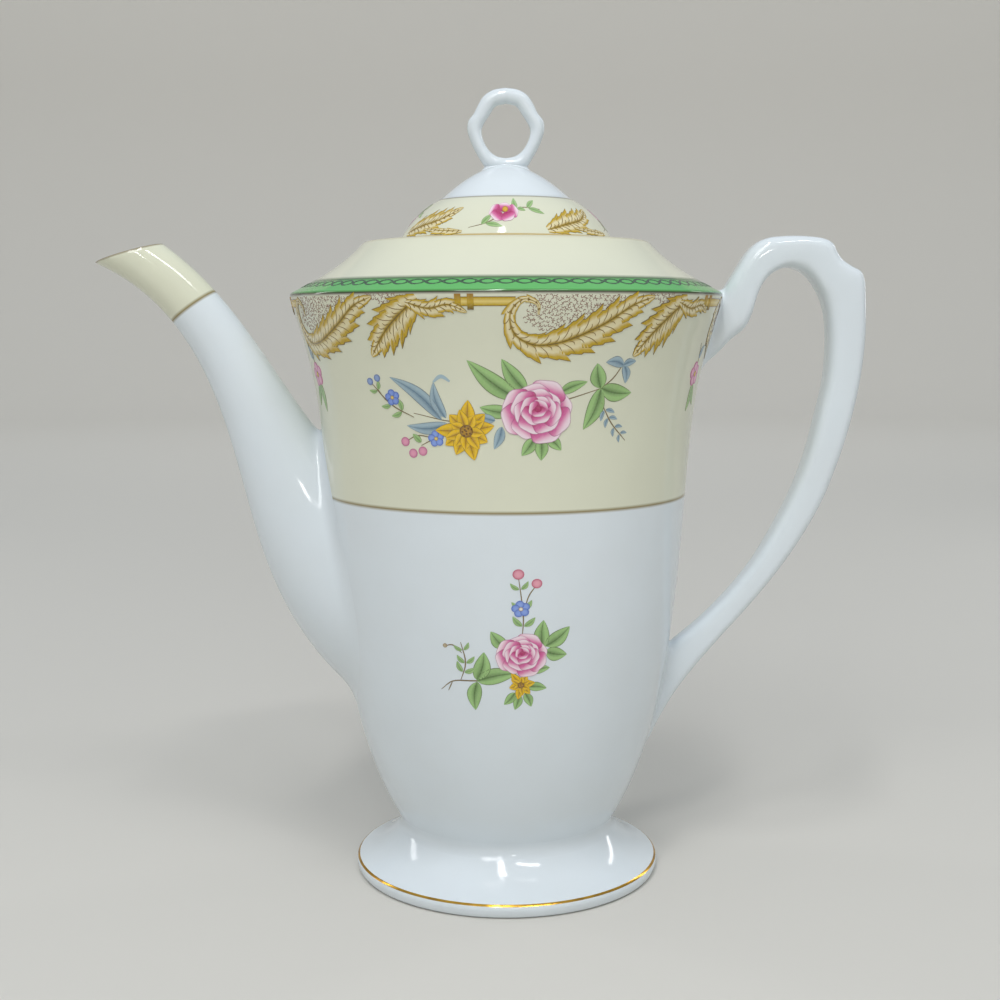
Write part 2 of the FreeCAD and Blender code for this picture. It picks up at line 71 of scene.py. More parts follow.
DOME_SKIRT = [DOME_CROWN[-1], (24.2, 182.0), (29.1, LIP[1])]
LID_RIM_RADIUS = 35.25
COLLAR_OUTSIDE = 31.0
COLLAR_INSIDE = 28.0
COLLAR_END = 158.8
DOME_HOLLOW = [(COLLAR_INSIDE, 169.3), (22.7, 179.0), (8.0, 190.8), (0.0, 191.6)]

# How far from its corner each softened edge starts
RIM_ROUNDING = 0.9
LIP_ROUNDING = 1.0
SEAT_ROUNDING = 0.5
FLOOR_ROUNDING = 4.0
NECK_FILLET = 2.6
FOOT_EDGE_ROUNDING = 1.2
FOOT_BASE_ROUNDING = 0.8
DOME_FOOT_ROUNDING = 1.2
LID_EDGE_ROUNDING = 0.7
LID_UNDERSIDE_ROUNDING = 0.5
COLLAR_ROUNDING = 0.9


def srgb(hex_colour):
    """A linear colour from an sRGB hex value."""
    channels = [int(hex_colour[start:start + 2], 16) / 255 for start in (1, 3, 5)]
    linear = [c / 12.92 if c <= 0.04045 else ((c + 0.055) / 1.055) ** 2.4 for c in channels]
    return (*linear, 1.0)


def add_node(tree, kind, inputs=None, **settings):
    """Add a node with its settings; an input is a value, or a socket to link from."""
    node = tree.nodes.new(kind)
    for name, value in settings.items():
        setattr(node, name, value)
    for key, value in (inputs or {}).items():
        if isinstance(value, bpy.types.NodeSocket):
            tree.links.new(value, node.inputs[key])
        else:
            node.inputs[key].default_value = value
    return node


# Curves

def lengths_along(run):
    """Distance from a run's start to each of its points."""
    return np.concatenate([[0], np.cumsum(np.linalg.norm(np.diff(run, axis=0), axis=1))])


def points_at(run, places):
    """Points of a run at the given distances from its start."""
    lengths = lengths_along(run)
    return np.column_stack([np.interp(places, lengths, axis) for axis in run.T])


def directions(line):
    """Unit directions along and across a flat line, at each of its points."""
    along = np.gradient(line, axis=0)
    along /= np.linalg.norm(along, axis=1)[:, None]
    return along, np.column_stack([-along[:, 1], along[:, 0]])


def crossing(line, heights):
    """Where a line first sinks to zero height: the index of the point after it, and the place."""
    after = int(np.argmax(heights <= 0))
    share = heights[after - 1] / (heights[after - 1] - heights[after])
    return after, line[after - 1] + share * (line[after] - line[after - 1])


def spline(poles, count):
    """Points of the clamped B-spline that the poles steer, up to the third degree."""
    poles = np.array(poles, float)
    degree = min(3, len(poles) - 1)
    inner = np.linspace(0, 1, len(poles) - degree + 1)
    knots = np.concatenate([np.zeros(degree), inner, np.ones(degree)])
    points = []
    for place in np.linspace(0, 1, count):
        span = min(np.searchsorted(knots, place, side="right") - 1, len(poles) - 1)
        near = [poles[span - degree + step] for step in range(degree + 1)]
        for level in range(1, degree + 1):
            for step in range(degree, level - 1, -1):
                left = knots[span - degree + step]
                right = knots[span + 1 + step - level]
                share = (place - left) / (right - left)
                near[step] = (1 - share) * near[step - 1] + share * near[step]
        points.append(near[degree])
    return np.array(points)


def through(points, per_span, closed=False):
    """A smooth curve through the points, with as many steps in each span."""
    points = np.array(points, float)
    if closed:
        padded = np.vstack([points[-1], points, points[:2]])
    else:
        padded = np.vstack([2 * points[0] - points[1], points, 2 * points[-1] - points[-2]])
    knots = np.concatenate([[0], np.cumsum(np.sqrt(np.linalg.norm(np.diff(padded, axis=0), axis=1)))])
    curve = []
    for span in range(1, len(padded) - 2):
        p = padded[span - 1:span + 3]
        k = knots[span - 1:span + 3]
        for place in np.linspace(k[1], k[2], per_span, endpoint=False):
            near = list(p)
            for first, last in ((0, 1), (0, 2), (1, 2)):
                spans = len(near) - 1
                shares = [(place - k[i + first]) / (k[i + last] - k[i + first]) for i in range(spans)]
                near = [(1 - share) * near[i] + share * near[i + 1] for i, share in enumerate(shares)]
            curve.append(near[0])
    if not closed:
        curve.append(points[-1])
    return np.array(curve)


def soften(first, second, reach, steps=5):
    """Join two runs that meet in a corner by a rounding that starts the given reach from it."""
    def trimmed(run):
        """A run cut short by the reach."""
        lengths = lengths_along(run)
        cut = lengths[-1] - reach
        return np.vstack([run[lengths < cut], points_at(run, cut)])
    before = trimmed(np.array(first, float))
    after = trimmed(np.array(second, float)[::-1])[::-1]
    corner = np.array(first[-1], float)
    bend = [(1 - s) ** 2 * before[-1] + 2 * s * (1 - s) * corner + s ** 2 * after[0]
            for s in np.linspace(0, 1, steps + 2)[1:-1]]
    return np.vstack([before, bend, after])


def straight(start, end, count=2):
    """Points of a straight run."""
    return np.linspace(start, end, count)


# Meshes

def to_object(name, mesh, crease, merge=0.0):
    """Link a mesh as a smooth object with its faces pointing outwards; merge joins doubled points."""
    work = bmesh.new()
    work.from_mesh(mesh)
    if merge:
        bmesh.ops.remove_doubles(work, verts=work.verts, dist=merge)
        bmesh.ops.dissolve_degenerate(work, edges=work.edges, dist=merge)
    bmesh.ops.recalc_face_normals(work, faces=work.faces)
    work.to_mesh(mesh)
    work.free()
    mesh.shade_smooth()
    mesh.set_sharp_from_angle(angle=math.radians(crease))
    piece = bpy.data.objects.new(name, mesh)
    bpy.context.scene.collection.objects.link(piece)
    return piece


def make_piece(name, verts, faces, materials, slots=None, crease=CREASE):
    """An object from points in millimetres, with a material slot for each face where slots are given."""
    mesh = bpy.data.meshes.new(name)
    mesh.from_pydata(MM * np.array(verts, float), [], faces)
    for material in materials:
        mesh.materials.append(material)
    if slots is not None:
        mesh.polygons.foreach_set("material_index", slots)
    return to_object(name, mesh, crease)


def applied(piece, modifier):
    """Turn a piece and its modifier into a plain mesh."""
    evaluated = piece.evaluated_get(bpy.context.evaluated_depsgraph_get())
    mesh = bpy.data.meshes.new_from_object(evaluated)
    piece.modifiers.remove(modifier)
    piece.data = mesh
    return piece


def turned(profile, closed=False):
    """Points and faces of a profile of (radius, height) turned about the axis, and each face's row."""
    verts, rings = [], []
    for radius, height in profile:
        if radius < 1e-6:
            rings.append([len(verts)])
            verts.append((0.0, 0.0, height))
            continue
        rings.append(range(len(verts), len(verts) + SIDES))
        for side in range(SIDES):
            angle = 2 * math.pi * side / SIDES
            verts.append((radius * math.sin(angle), -radius * math.cos(angle), height))
    faces, rows = [], []
    pairs = list(zip(rings, rings[1:] + ([rings[0]] if closed else [])))
    for row, (low, high) in enumerate(pairs):
        if len(low) == 1 and len(high) == 1:
            continue
        for side in range(SIDES):
            onward = (side + 1) % SIDES
            if len(low) == 1:
                face = (low[0], high[onward], high[side])
            elif len(high) == 1:
                face = (low[side], low[onward], high[0])
            else:
                face = (low[side], low[onward], high[onward], high[side])
            faces.append(face)
            rows.append(row)
    return verts, faces, np.array(rows)


outside_wall = soften(spline(WALL, 90), spline(SHOULDER, 30), RIM_ROUNDING)
dome_outside = np.vstack([spline(DOME_CROWN, 30), spline(DOME_SKIRT, 30)[1:]])


def body_radius(height):
    """Radius of the pot's outside at a height."""
    return np.interp(height, outside_wall[:, 1], outside_wall[:, 0])


def body_normal(point):
    """Outward direction of the pot's outside beside a point."""
    rise = 0.5
    slope = (body_radius(point[2] + rise) - body_radius(point[2] - rise)) / (2 * rise)
    outward = np.array([point[0], point[1], 0.0])
    outward /= np.linalg.norm(outward)
    normal = outward - np.array([0, 0, slope])
    return normal / np.linalg.norm(normal)


def onto_body(point, sink):
    """The point at the same height and angle that lies a little under the pot's outside."""
    radius = body_radius(point[2]) - sink
    return np.array([*(point[:2] / np.linalg.norm(point[:2]) * radius), point[2]])


def seat_on_body(lines, fillet, rows, fillet_rows=8):
    """Trim lines that run from outside into the pot, and spread each onto the wall in a glaze fillet.

    lines has one run of points for each step round the piece. The result has the same number of rows
    in each: the trimmed run, then the fillet, whose last point lies just under the pot's skin.
    """
    meets, trimmed = [], []
    for line in lines:
        depth = np.hypot(line[:, 0], line[:, 1]) - body_radius(line[:, 2])
        inside, meet = crossing(line, depth)
        run = np.vstack([line[:inside], meet])
        trimmed.append(points_at(run, np.linspace(0, lengths_along(run)[-1] - fillet, rows)))
        meets.append(meet)
    meets = np.array(meets)
    centre = meets.mean(axis=0)
    seated = []
    for step, (run, meet) in enumerate(zip(trimmed, meets)):
        along = meets[(step + 1) % len(meets)] - meets[step - 1]
        away = np.cross(body_normal(meet), along)
        away *= np.sign(np.dot(away, meet - centre)) / np.linalg.norm(away)
        foot = onto_body(meet + fillet * away, SEAM_SINK)
        shares = np.linspace(0, 1, fillet_rows + 1)[1:, None]
        bend = (1 - shares) ** 2 * run[-1] + 2 * shares * (1 - shares) * meet + shares ** 2 * foot
        seated.append(np.vstack([run, bend]))
    return np.array(seated)


def grid_faces(steps, rows, start=0, closed=False):
    """Faces of a grid with a run of rows for each step, closed round its steps, and its rows if asked."""
    faces = []
    for step in range(steps):
        here = start + step * rows
        there = start + (step + 1) % steps * rows
        for row in range(rows if closed else rows - 1):
            onward = (row + 1) % rows
            faces.append((here + row, there + row, there + onward, here + onward))
    return faces


def end_caps(steps, rows, start=0):
    """The two faces that close a grid at its first and last rows."""
    return [[start + step * rows + row for step in range(steps)] for row in (0, rows - 1)]


# Materials

INK = "#3A3226"
CREAM = "#DFE0CA"
WHITE = "#E0E8ED"
GREEN = "#5AB55C"
OCHRE_LINE = "#A98B3C"
BODY_LINE = "#8C7C4C"


def per_mm(size):
    """Noise scale that gives features of a size in millimetres on Object coordinates in metres."""
    return 1 / (size * MM)


def new_material(name):
    """An empty material, its node tree, and a socket with Object coordinates in metres."""
    material = bpy.data.materials.new(name)
    material.use_nodes = True
    tree = material.node_tree
    tree.nodes.clear()
    return material, tree, add_node(tree, "ShaderNodeTexCoord").outputs["Object"]


def painted_bands(tree, height, bands, span):
    """Colour by a height in metres: each band is the level it starts at and its hex colour."""
    feather = 0.05
    low, high = span
    scaled = add_node(tree, "ShaderNodeMapRange", {0: height, 1: low * MM, 2: high * MM, 3: 0.0, 4: 1.0})
    paint = add_node(tree, "ShaderNodeValToRGB", {0: scaled.outputs[0]})
    stops = paint.color_ramp.elements
    stops[0].color = srgb(bands[0][1])
    stops[0].position = 0.0
    stops[1].color = srgb(bands[-1][1])
    stops[1].position = 1.0
    for (_, before), (level, after) in zip(bands, bands[1:]):
        for shift, colour in ((-feather, before), (feather, after)):
            stop = stops.new((level + shift - low) / (high - low))
            stop.color = srgb(colour)
    return paint.outputs[0]


def glazed_porcelain(name, paint):
    """Hard-paste porcelain under a clear feldspar glaze: a mirror-like skin over a faintly uneven body.

    The glaze lies in soft ripples about a centimetre apart that make reflections waver, and the body
    under it is very slightly clouded. paint gives the colour, or its socket, from Object coordinates.
    """
    material, tree, coords = new_material(name)
    colour = paint(tree, coords)
    clouds = add_node(tree, "ShaderNodeTexNoise", {"Vector": coords, "Scale": per_mm(14), "Detail": 4.0})
    clouding = add_node(tree, "ShaderNodeMapRange", {0: clouds.outputs[0], 1: 0.35, 2: 0.7, 3: 0.0, 4: 0.05})
    body = add_node(tree, "ShaderNodeMix",
                    {"Factor": clouding.outputs[0], "A": colour, "B": srgb("#B9B4A6")}, data_type="RGBA")
    ripple = add_node(tree, "ShaderNodeTexNoise", {"Vector": coords, "Scale": per_mm(11), "Detail": 1.0})
    relief = add_node(tree, "ShaderNodeBump",
                      {"Height": ripple.outputs[0], "Strength": 0.25, "Distance": 0.06 * MM})
    gloss = add_node(tree, "ShaderNodeMapRange", {0: clouds.outputs[0], 1: 0.3, 2: 0.7, 3: 0.06, 4: 0.11})
    shader = add_node(tree, "ShaderNodeBsdfPrincipled", {
        "Base Color": body.outputs["Result"],
        "Roughness": gloss.outputs[0],
        "Normal": relief.outputs[0],
        "IOR": 1.5,
    })
    add_node(tree, "ShaderNodeOutputMaterial", {"Surface": shader.outputs[0]})
    return material


def height_of(tree, coords):
    """The height above the foot ring, in metres."""
    return add_node(tree, "ShaderNodeSeparateXYZ", {0: coords}).outputs["Z"]


def plain_white(tree, coords):
    """White all over."""
    return srgb(WHITE)


def body_paint(tree, coords):
    """White below, cream above a thin brown line, the green rim between dark lines, cream shoulder."""
    bands = [(0, WHITE), (105.95, BODY_LINE), (106.28, CREAM), (159.0, INK), (159.75, GREEN), (163.1, INK),
             (163.35, CREAM), (173.2, OCHRE_LINE), (173.65, CREAM)]
    return painted_bands(tree, height_of(tree, coords), bands, (0, 180))


def lid_paint(tree, coords):
    """Cream ledge and skirt, parted by an ochre line at the foot of the dome, under a white crown."""
    bands = [(150, CREAM), (174.1, "#B9983A"), (174.6, CREAM), (184.55, "#8E8A78"), (184.8, WHITE)]
    return painted_bands(tree, height_of(tree, coords), bands, (150, 200))


SPOUT_MOUTH = np.array([-101.6, 171.6])
SPOUT_MOUTH_SLOPE = math.radians(15.4)
SPOUT_LINE_LOW = np.array([-90.5, 152.8])
SPOUT_LINE_HIGH = np.array([-79.0, 161.0])


def spout_paint(tree, coords):
    """White horn with a cream tip above a thin brown line, and a rubbed drab line round its mouth."""
    across = (SPOUT_LINE_HIGH - SPOUT_LINE_LOW) / np.linalg.norm(SPOUT_LINE_HIGH - SPOUT_LINE_LOW)
    climb = np.array([-across[1], across[0]])
    level = float(climb @ SPOUT_LINE_LOW)
    towards = add_node(tree, "ShaderNodeVectorMath", {0: coords, 1: (climb[0], 0.0, climb[1])},
                       operation="DOT_PRODUCT")
    bands = [(0, WHITE), (level - 0.2, "#8A7A45"), (level + 0.2, CREAM)]
    horn = painted_bands(tree, towards.outputs["Value"], bands, (level - 100, level + 100))
    slice_up = (-math.sin(SPOUT_MOUTH_SLOPE), 0.0, math.cos(SPOUT_MOUTH_SLOPE))
    over = add_node(tree, "ShaderNodeVectorMath", {0: coords, 1: slice_up}, operation="DOT_PRODUCT")
    top = float(np.array(slice_up)[[0, 2]] @ SPOUT_MOUTH) * MM
    worn = add_node(tree, "ShaderNodeMapRange", {
        0: over.outputs["Value"], 1: top - 0.75 * MM, 2: top - 0.4 * MM, 3: 0.0, 4: 0.85})
    edged = add_node(tree, "ShaderNodeMix", {"Factor": worn.outputs[0], "A": horn, "B": srgb("#8D8166")},
                     data_type="RGBA")
    return edged.outputs["Result"]


def gold_leaf():
    """Burnished gold line: bright gold, rubbed thin in places where the edge has been handled."""
    material, tree, coords = new_material("burnished_gold")
    rub = add_node(tree, "ShaderNodeTexNoise", {"Vector": coords, "Scale": per_mm(4), "Detail": 6.0})
    thin = add_node(tree, "ShaderNodeMapRange", {0: rub.outputs[0], 1: 0.4, 2: 0.65, 3: 0.0, 4: 1.0})
    leaf = add_node(tree, "ShaderNodeMix",
                    {"Factor": thin.outputs[0], "A": srgb("#D9A93F"), "B": srgb("#A97F35")},
                    data_type="RGBA")
    shine = add_node(tree, "ShaderNodeMapRange", {0: rub.outputs[0], 1: 0.3, 2: 0.7, 3: 0.12, 4: 0.3})
    shader = add_node(tree, "ShaderNodeBsdfPrincipled",
                      {"Base Color": leaf.outputs["Result"], "Roughness": shine.outputs[0], "Metallic": 1.0})
    add_node(tree, "ShaderNodeOutputMaterial", {"Surface": shader.outputs[0]})
    return material


white_glaze = glazed_porcelain("white_porcelain_glaze", plain_white)
body_glaze = glazed_porcelain("banded_body_glaze", body_paint)
lid_glaze = glazed_porcelain("banded_lid_glaze", lid_paint)
spout_glaze = glazed_porcelain("cream_tipped_spout_glaze", spout_paint)
gold = gold_leaf()


# Pieces

def finish_piece(piece, body, node=None):
    """Let a piece ride on its body and stand for its solid."""
    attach(piece, body)
    if node:
        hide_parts(node)
    return piece


STRAINER_HOLE = 5.0
STRAINER_PITCH = 8.6
STRAINER_LEVEL = 87.5
STRAINER_RING_HOLES = 6


def strainer_pins():
    """Round pins through the wall behind the spout, one ringed by six, where its holes go."""
    steps, near, far = 32, -30.0, -58.0
    places = [(0.0, 0.0)]
    for number in range(STRAINER_RING_HOLES):
        angle = 2 * math.pi * number / STRAINER_RING_HOLES
        places.append((STRAINER_PITCH * math.cos(angle), STRAINER_PITCH * math.sin(angle)))
    verts, faces = [], []
    for across, up in places:
        start = len(verts)
        for step in range(steps):
            turn = 2 * math.pi * step / steps
            y = across + STRAINER_HOLE / 2 * math.cos(turn)
            z = STRAINER_LEVEL + up + STRAINER_HOLE / 2 * math.sin(turn)
            verts += [(near, y, z), (far, y, z)]
        faces += grid_faces(steps, 2, start) + end_caps(steps, 2, start)
    return make_piece("strainer_pins", verts, faces, [white_glaze])


def pierced(piece, pins):
    """Cut the pins out of a piece and drop them."""
    cut = piece.modifiers.new("strainer", "BOOLEAN")
    cut.object = pins
    applied(piece, cut)
    bpy.data.objects.remove(pins)
    piece.data.set_sharp_from_angle(angle=math.radians(CREASE))
    return piece


def body_shell():
    """Floor, flared wall pierced behind the spout, shoulder, lip and stepped seat for the lid."""
    outside = soften(outside_wall, straight(LIP, (GALLERY_RADIUS, LIP[1])), LIP_ROUNDING)
    gallery = soften(straight((GALLERY_RADIUS, LIP[1]), (GALLERY_RADIUS, SEAT_LEVEL)),
                     straight((GALLERY_RADIUS, SEAT_LEVEL), (MOUTH_RADIUS, SEAT_LEVEL)), SEAT_ROUNDING)
    mouth = straight((MOUTH_RADIUS, SEAT_LEVEL), (MOUTH_RADIUS, GALLERY_UNDERSIDE))
    root = (GALLERY_RADIUS + BODY_WALL / 2, GALLERY_UNDERSIDE)
    under = np.vstack([straight(mouth[-1], root)[:-1], spline([root, UNDER_SHOULDER, UNDER_RIM], 16)])
    inside = soften(spline(INSIDE, 60), straight(FLOOR, (0.0, FLOOR[1]), 6), FLOOR_ROUNDING)
    start = straight((0.0, NECK[1]), NECK, 4)
    profile = np.vstack([start[:-1], outside, gallery[1:], mouth[1:], under[1:], inside[1:]])
    verts, faces, rows = turned(profile)
    painted = len(start) - 1 + len(outside)
    slots = np.where(rows < painted, 0, 1)
    piece = make_piece("pot_body", verts, faces, [body_glaze, white_glaze], slots)
    return finish_piece(pierced(piece, strainer_pins()), "pot", "body_shell")


def pedestal_foot():
    """Hollow foot whose flare runs into the pot's neck in a glaze fillet."""
    neck_run = outside_wall[outside_wall[:, 1] < NECK[1] + 3 * NECK_FILLET][::-1]
    flare = soften(neck_run, spline(FOOT_FLARE, 30), NECK_FILLET, 8)
    fillet_start = int(np.argmin(np.abs(flare[:, 1] - (NECK[1] + NECK_FILLET))))
    flare = flare[fillet_start:]
    flare[0, 0] -= SEAM_SINK
    edge = soften(flare, spline(FOOT_EDGE, 14), FOOT_EDGE_ROUNDING)
    base = soften(edge, straight(FOOT_EDGE[-1], FOOT_HOLLOW[0], 4), FOOT_BASE_ROUNDING)
    hollow = spline(FOOT_HOLLOW, 24)
    profile = np.vstack([base, hollow[1:]])
    verts, faces, _ = turned(profile, closed=True)
    piece = make_piece("pedestal_foot_glazed", verts, faces, [white_glaze])
    return finish_piece(piece, "pot", "pedestal_foot")


SPOUT_PATH = np.array([(-30.0, 80.5), (-69.4, 96.1), (-62.5, 156.0), (-111.0, 175.7)])
SPOUT_ROOT_RADIUS = 32.6
SPOUT_TIP_RADIUS = 6.8
SPOUT_TAPER = 2.9
SPOUT_FLATNESS = 0.2
SPOUT_WALL = 2.6
SPOUT_LIP = 0.4
SPOUT_FILLET = 5.4
BORE_FILLET = 0.3
SPOUT_STEPS = 96
SPOUT_ROWS = 70
BORE_ROWS = 40


def spout_surface(share, turn, wall):
    """A point of the horn, or of its bore where a wall is given: share along its path, turn round it."""
    left = 1 - share
    weights = np.array([left ** 3, 3 * left ** 2 * share, 3 * left * share ** 2, share ** 3])
    slopes = np.array([-left ** 2, left ** 2 - 2 * left * share, 2 * left * share - share ** 2, share ** 2])
    place = weights @ SPOUT_PATH
    heading = slopes @ SPOUT_PATH
    heading /= np.linalg.norm(heading)
    along = SPOUT_TIP_RADIUS + (SPOUT_ROOT_RADIUS - SPOUT_TIP_RADIUS) * max(left, 0.0) ** SPOUT_TAPER
    across = along * (1 - left * SPOUT_FLATNESS)
    up = (along - wall) * math.cos(turn)
    side = (across - wall) * math.sin(turn)
    return np.array([place[0] + up * heading[1], side, place[1] - up * heading[0]])


def spout_line(turn, wall):
    """One line of the horn, from just under the lip of its sliced mouth down into the pot."""
    normal = np.array([-math.sin(SPOUT_MOUTH_SLOPE), math.cos(SPOUT_MOUTH_SLOPE)])
    line = np.array([spout_surface(share, turn, wall) for share in np.linspace(1.02, 0.0, 200)])
    above = (line[:, [0, 2]] - SPOUT_MOUTH) @ normal + SPOUT_LIP
    below, start = crossing(line, above)
    return np.vstack([start, line[below:]])


def spout():
    """Hollow horn: skin from a rounded mouth to a fillet on the wall, and the bore within it."""
    turns = [2 * math.pi * step / SPOUT_STEPS for step in range(SPOUT_STEPS)]
    skin_lines = [spout_line(turn, 0.0) for turn in turns]
    bore_lines = [spout_line(turn, SPOUT_WALL) for turn in turns]
    skin = seat_on_body(skin_lines, SPOUT_FILLET, SPOUT_ROWS)
    bore = seat_on_body(bore_lines, BORE_FILLET, BORE_ROWS, fillet_rows=1)
    lift = SPOUT_LIP * np.array([-math.sin(SPOUT_MOUTH_SLOPE), 0, math.cos(SPOUT_MOUTH_SLOPE)])
    lines = []
    for outer, inner in zip(skin, bore):
        lip = []
        for angle in np.linspace(0, math.pi, 7)[1:-1]:
            between = (outer[0] + inner[0]) / 2 + (outer[0] - inner[0]) / 2 * math.cos(angle)
            lip.append(between + lift * math.sin(angle))
        lines.append(np.vstack([outer[::-1], lip, inner]))
    lines = np.array(lines)
    faces = grid_faces(SPOUT_STEPS, lines.shape[1], closed=True)
    piece = make_piece("spout_horn", lines.reshape(-1, 3), faces, [spout_glaze], crease=60)
    return finish_piece(piece, "pot", "spout")


# The handle's outer and inner outlines, point for point, from its root under the rim to its tail
HANDLE_OUTER = [(52.0, 149.0), (55.5, 154.8), (58.4, 159.9), (60.2, 163.2), (62.0, 166.2), (65.0, 171.0),
                (67.4, 173.4), (70.4, 174.8), (74.5, 175.3), (80.5, 175.3), (86.0, 174.5), (88.1, 173.2),
                (89.1, 171.2), (90.6, 169.1), (93.4, 167.2), (95.7, 165.9), (96.7, 164.0), (97.1, 160.0),
                (97.3, 147.4), (96.2, 136.5), (94.0, 125.5), (90.8, 114.5), (86.6, 103.4), (80.6, 92.4),
                (74.3, 83.2), (67.0, 74.0), (58.8, 64.6), (51.7, 56.0), (46.8, 49.2), (42.8, 42.2),
                (38.6, 33.8), (32.0, 24.0)]
HANDLE_INNER = [(46.0, 136.0), (51.6, 139.2), (56.4, 142.9), (60.9, 147.5), (64.6, 150.6), (66.4, 154.2),
                (67.4, 158.0), (68.7, 161.6), (70.8, 164.5), (74.9, 166.7), (79.0, 166.2), (81.1, 164.9),
                (82.6, 163.4), (83.8, 161.7), (84.9, 159.8), (85.7, 158.0), (86.3, 156.2), (86.9, 153.4),
                (87.4, 146.4), (86.8, 136.2), (84.8, 126.6), (82.2, 116.0), (78.6, 106.0), (73.6, 95.8),
                (68.0, 86.2), (61.4, 77.8), (54.4, 70.6), (49.0, 66.0), (45.4, 63.0), (42.0, 59.0),
                (38.0, 54.0), (34.0, 48.0)]
HANDLE_BREADTH = 12.0
HANDLE_ROOT_BREADTH = 8.5
HANDLE_TAIL_BREADTH = 6.5
HANDLE_SQUARENESS = 3.8
HANDLE_ROOT_FILLET = 3.0
HANDLE_TAIL_FILLET = 3.2
HANDLE_STEPS = 40
HANDLE_ROWS = 110


def handle():
    """Strap handle with softly squared edges, a thumb notch, and fillets where it meets the wall."""
    outer = through(HANDLE_OUTER, 8)
    inner = through(HANDLE_INNER, 8)
    shares = np.linspace(0, 1, len(outer))
    root_share, tail_share = 0.12, 0.68
    breadth = np.interp(shares, [0, root_share, tail_share, 1],
                        [HANDLE_ROOT_BREADTH, HANDLE_BREADTH, HANDLE_BREADTH, HANDLE_TAIL_BREADTH])
    lines = []
    for step in range(HANDLE_STEPS):
        turn = 2 * math.pi * step / HANDLE_STEPS
        out = math.copysign(abs(math.cos(turn)) ** (2 / HANDLE_SQUARENESS), math.cos(turn))
        side = math.copysign(abs(math.sin(turn)) ** (2 / HANDLE_SQUARENESS), math.sin(turn))
        flat = (outer + inner) / 2 + out * (outer - inner) / 2
        lines.append(np.column_stack([flat[:, 0], side * breadth / 2, flat[:, 1]]))
    middle = len(outer) // 2
    upper = seat_on_body([line[middle::-1] for line in lines], HANDLE_ROOT_FILLET, HANDLE_ROWS)
    lower = seat_on_body([line[middle:] for line in lines], HANDLE_TAIL_FILLET, HANDLE_ROWS)
    runs = np.array([np.vstack([up[::-1], low[1:]]) for up, low in zip(upper, lower)])
    rows = runs.shape[1]
    faces = grid_faces(HANDLE_STEPS, rows) + end_caps(HANDLE_STEPS, rows)
    piece = make_piece("strap_handle", runs.reshape(-1, 3), faces, [white_glaze], crease=60)
    return finish_piece(piece, "pot", "handle")


def lid():
    """Domed lid with its flat rim, collar and hollow."""
    ledge = straight(DOME_SKIRT[-1], (LID_RIM_RADIUS, LIP[1]), 4)
    outside = soften(dome_outside, ledge, DOME_FOOT_ROUNDING)
    rim = straight((LID_RIM_RADIUS, LIP[1]), (LID_RIM_RADIUS, SEAT_LEVEL))
    outside = soften(outside, rim, LID_EDGE_ROUNDING)
    under = straight((LID_RIM_RADIUS, SEAT_LEVEL), (COLLAR_OUTSIDE, SEAT_LEVEL))
    outside = soften(outside, under, LID_UNDERSIDE_ROUNDING)
    collar = straight((COLLAR_OUTSIDE, SEAT_LEVEL), (COLLAR_OUTSIDE, COLLAR_END))
    collar_end = straight((COLLAR_OUTSIDE, COLLAR_END), (COLLAR_INSIDE, COLLAR_END))
    collar = soften(collar, collar_end, COLLAR_ROUNDING)
    collar = soften(collar, straight((COLLAR_INSIDE, COLLAR_END), DOME_HOLLOW[0]), COLLAR_ROUNDING)
    hollow = spline(DOME_HOLLOW, 40)
    profile = np.vstack([outside, collar[1:], hollow[1:]])
    verts, faces, rows = turned(profile)
    slots = np.where(rows < len(outside), 0, 1)
    piece = make_piece("domed_lid", verts, faces, [lid_glaze, white_glaze], slots)
    return finish_piece(piece, "lid", "lid")


# Half outlines of the ring finial, from the top down: outside and hole
RING_OUTSIDE = [(0.0, 214.6), (3.2, 214.1), (5.8, 212.6), (7.4, 210.3), (8.6, 207.9), (10.1, 205.9),
                (10.35, 203.6), (9.6, 200.8), (8.3, 198.0), (7.0, 195.8), (5.8, 194.0), (3.6, 192.9),
                (0.0, 192.6)]
RING_HOLE = [(0.0, 210.4), (2.7, 209.7), (4.4, 207.4), (6.0, 204.9), (6.5, 203.2), (5.9, 200.6),
             (4.3, 198.0), (2.3, 196.6), (0.0, 196.2)]
RING_CENTRE = 203.6
RING_DEPTH = 2.3
# Neck under the ring, from the top down: height, half width across the front and half depth
FINIAL_NECK = [(195.2, 5.4, 1.9), (194.2, 5.7, 2.4), (193.3, 6.2, 3.4), (192.4, 7.2, 5.2), (191.5, 8.7, 7.6)]
FINIAL_NECK_SPREAD = 10.8


def ring_reach(outline, bearings):
    """Distances from the ring's centre to a half outline, at bearings from straight up."""
    points = through(outline, 8)
    angles = np.arctan2(points[:, 0], points[:, 1] - RING_CENTRE)
    return np.interp(np.abs(bearings), angles, np.hypot(points[:, 0], points[:, 1] - RING_CENTRE))


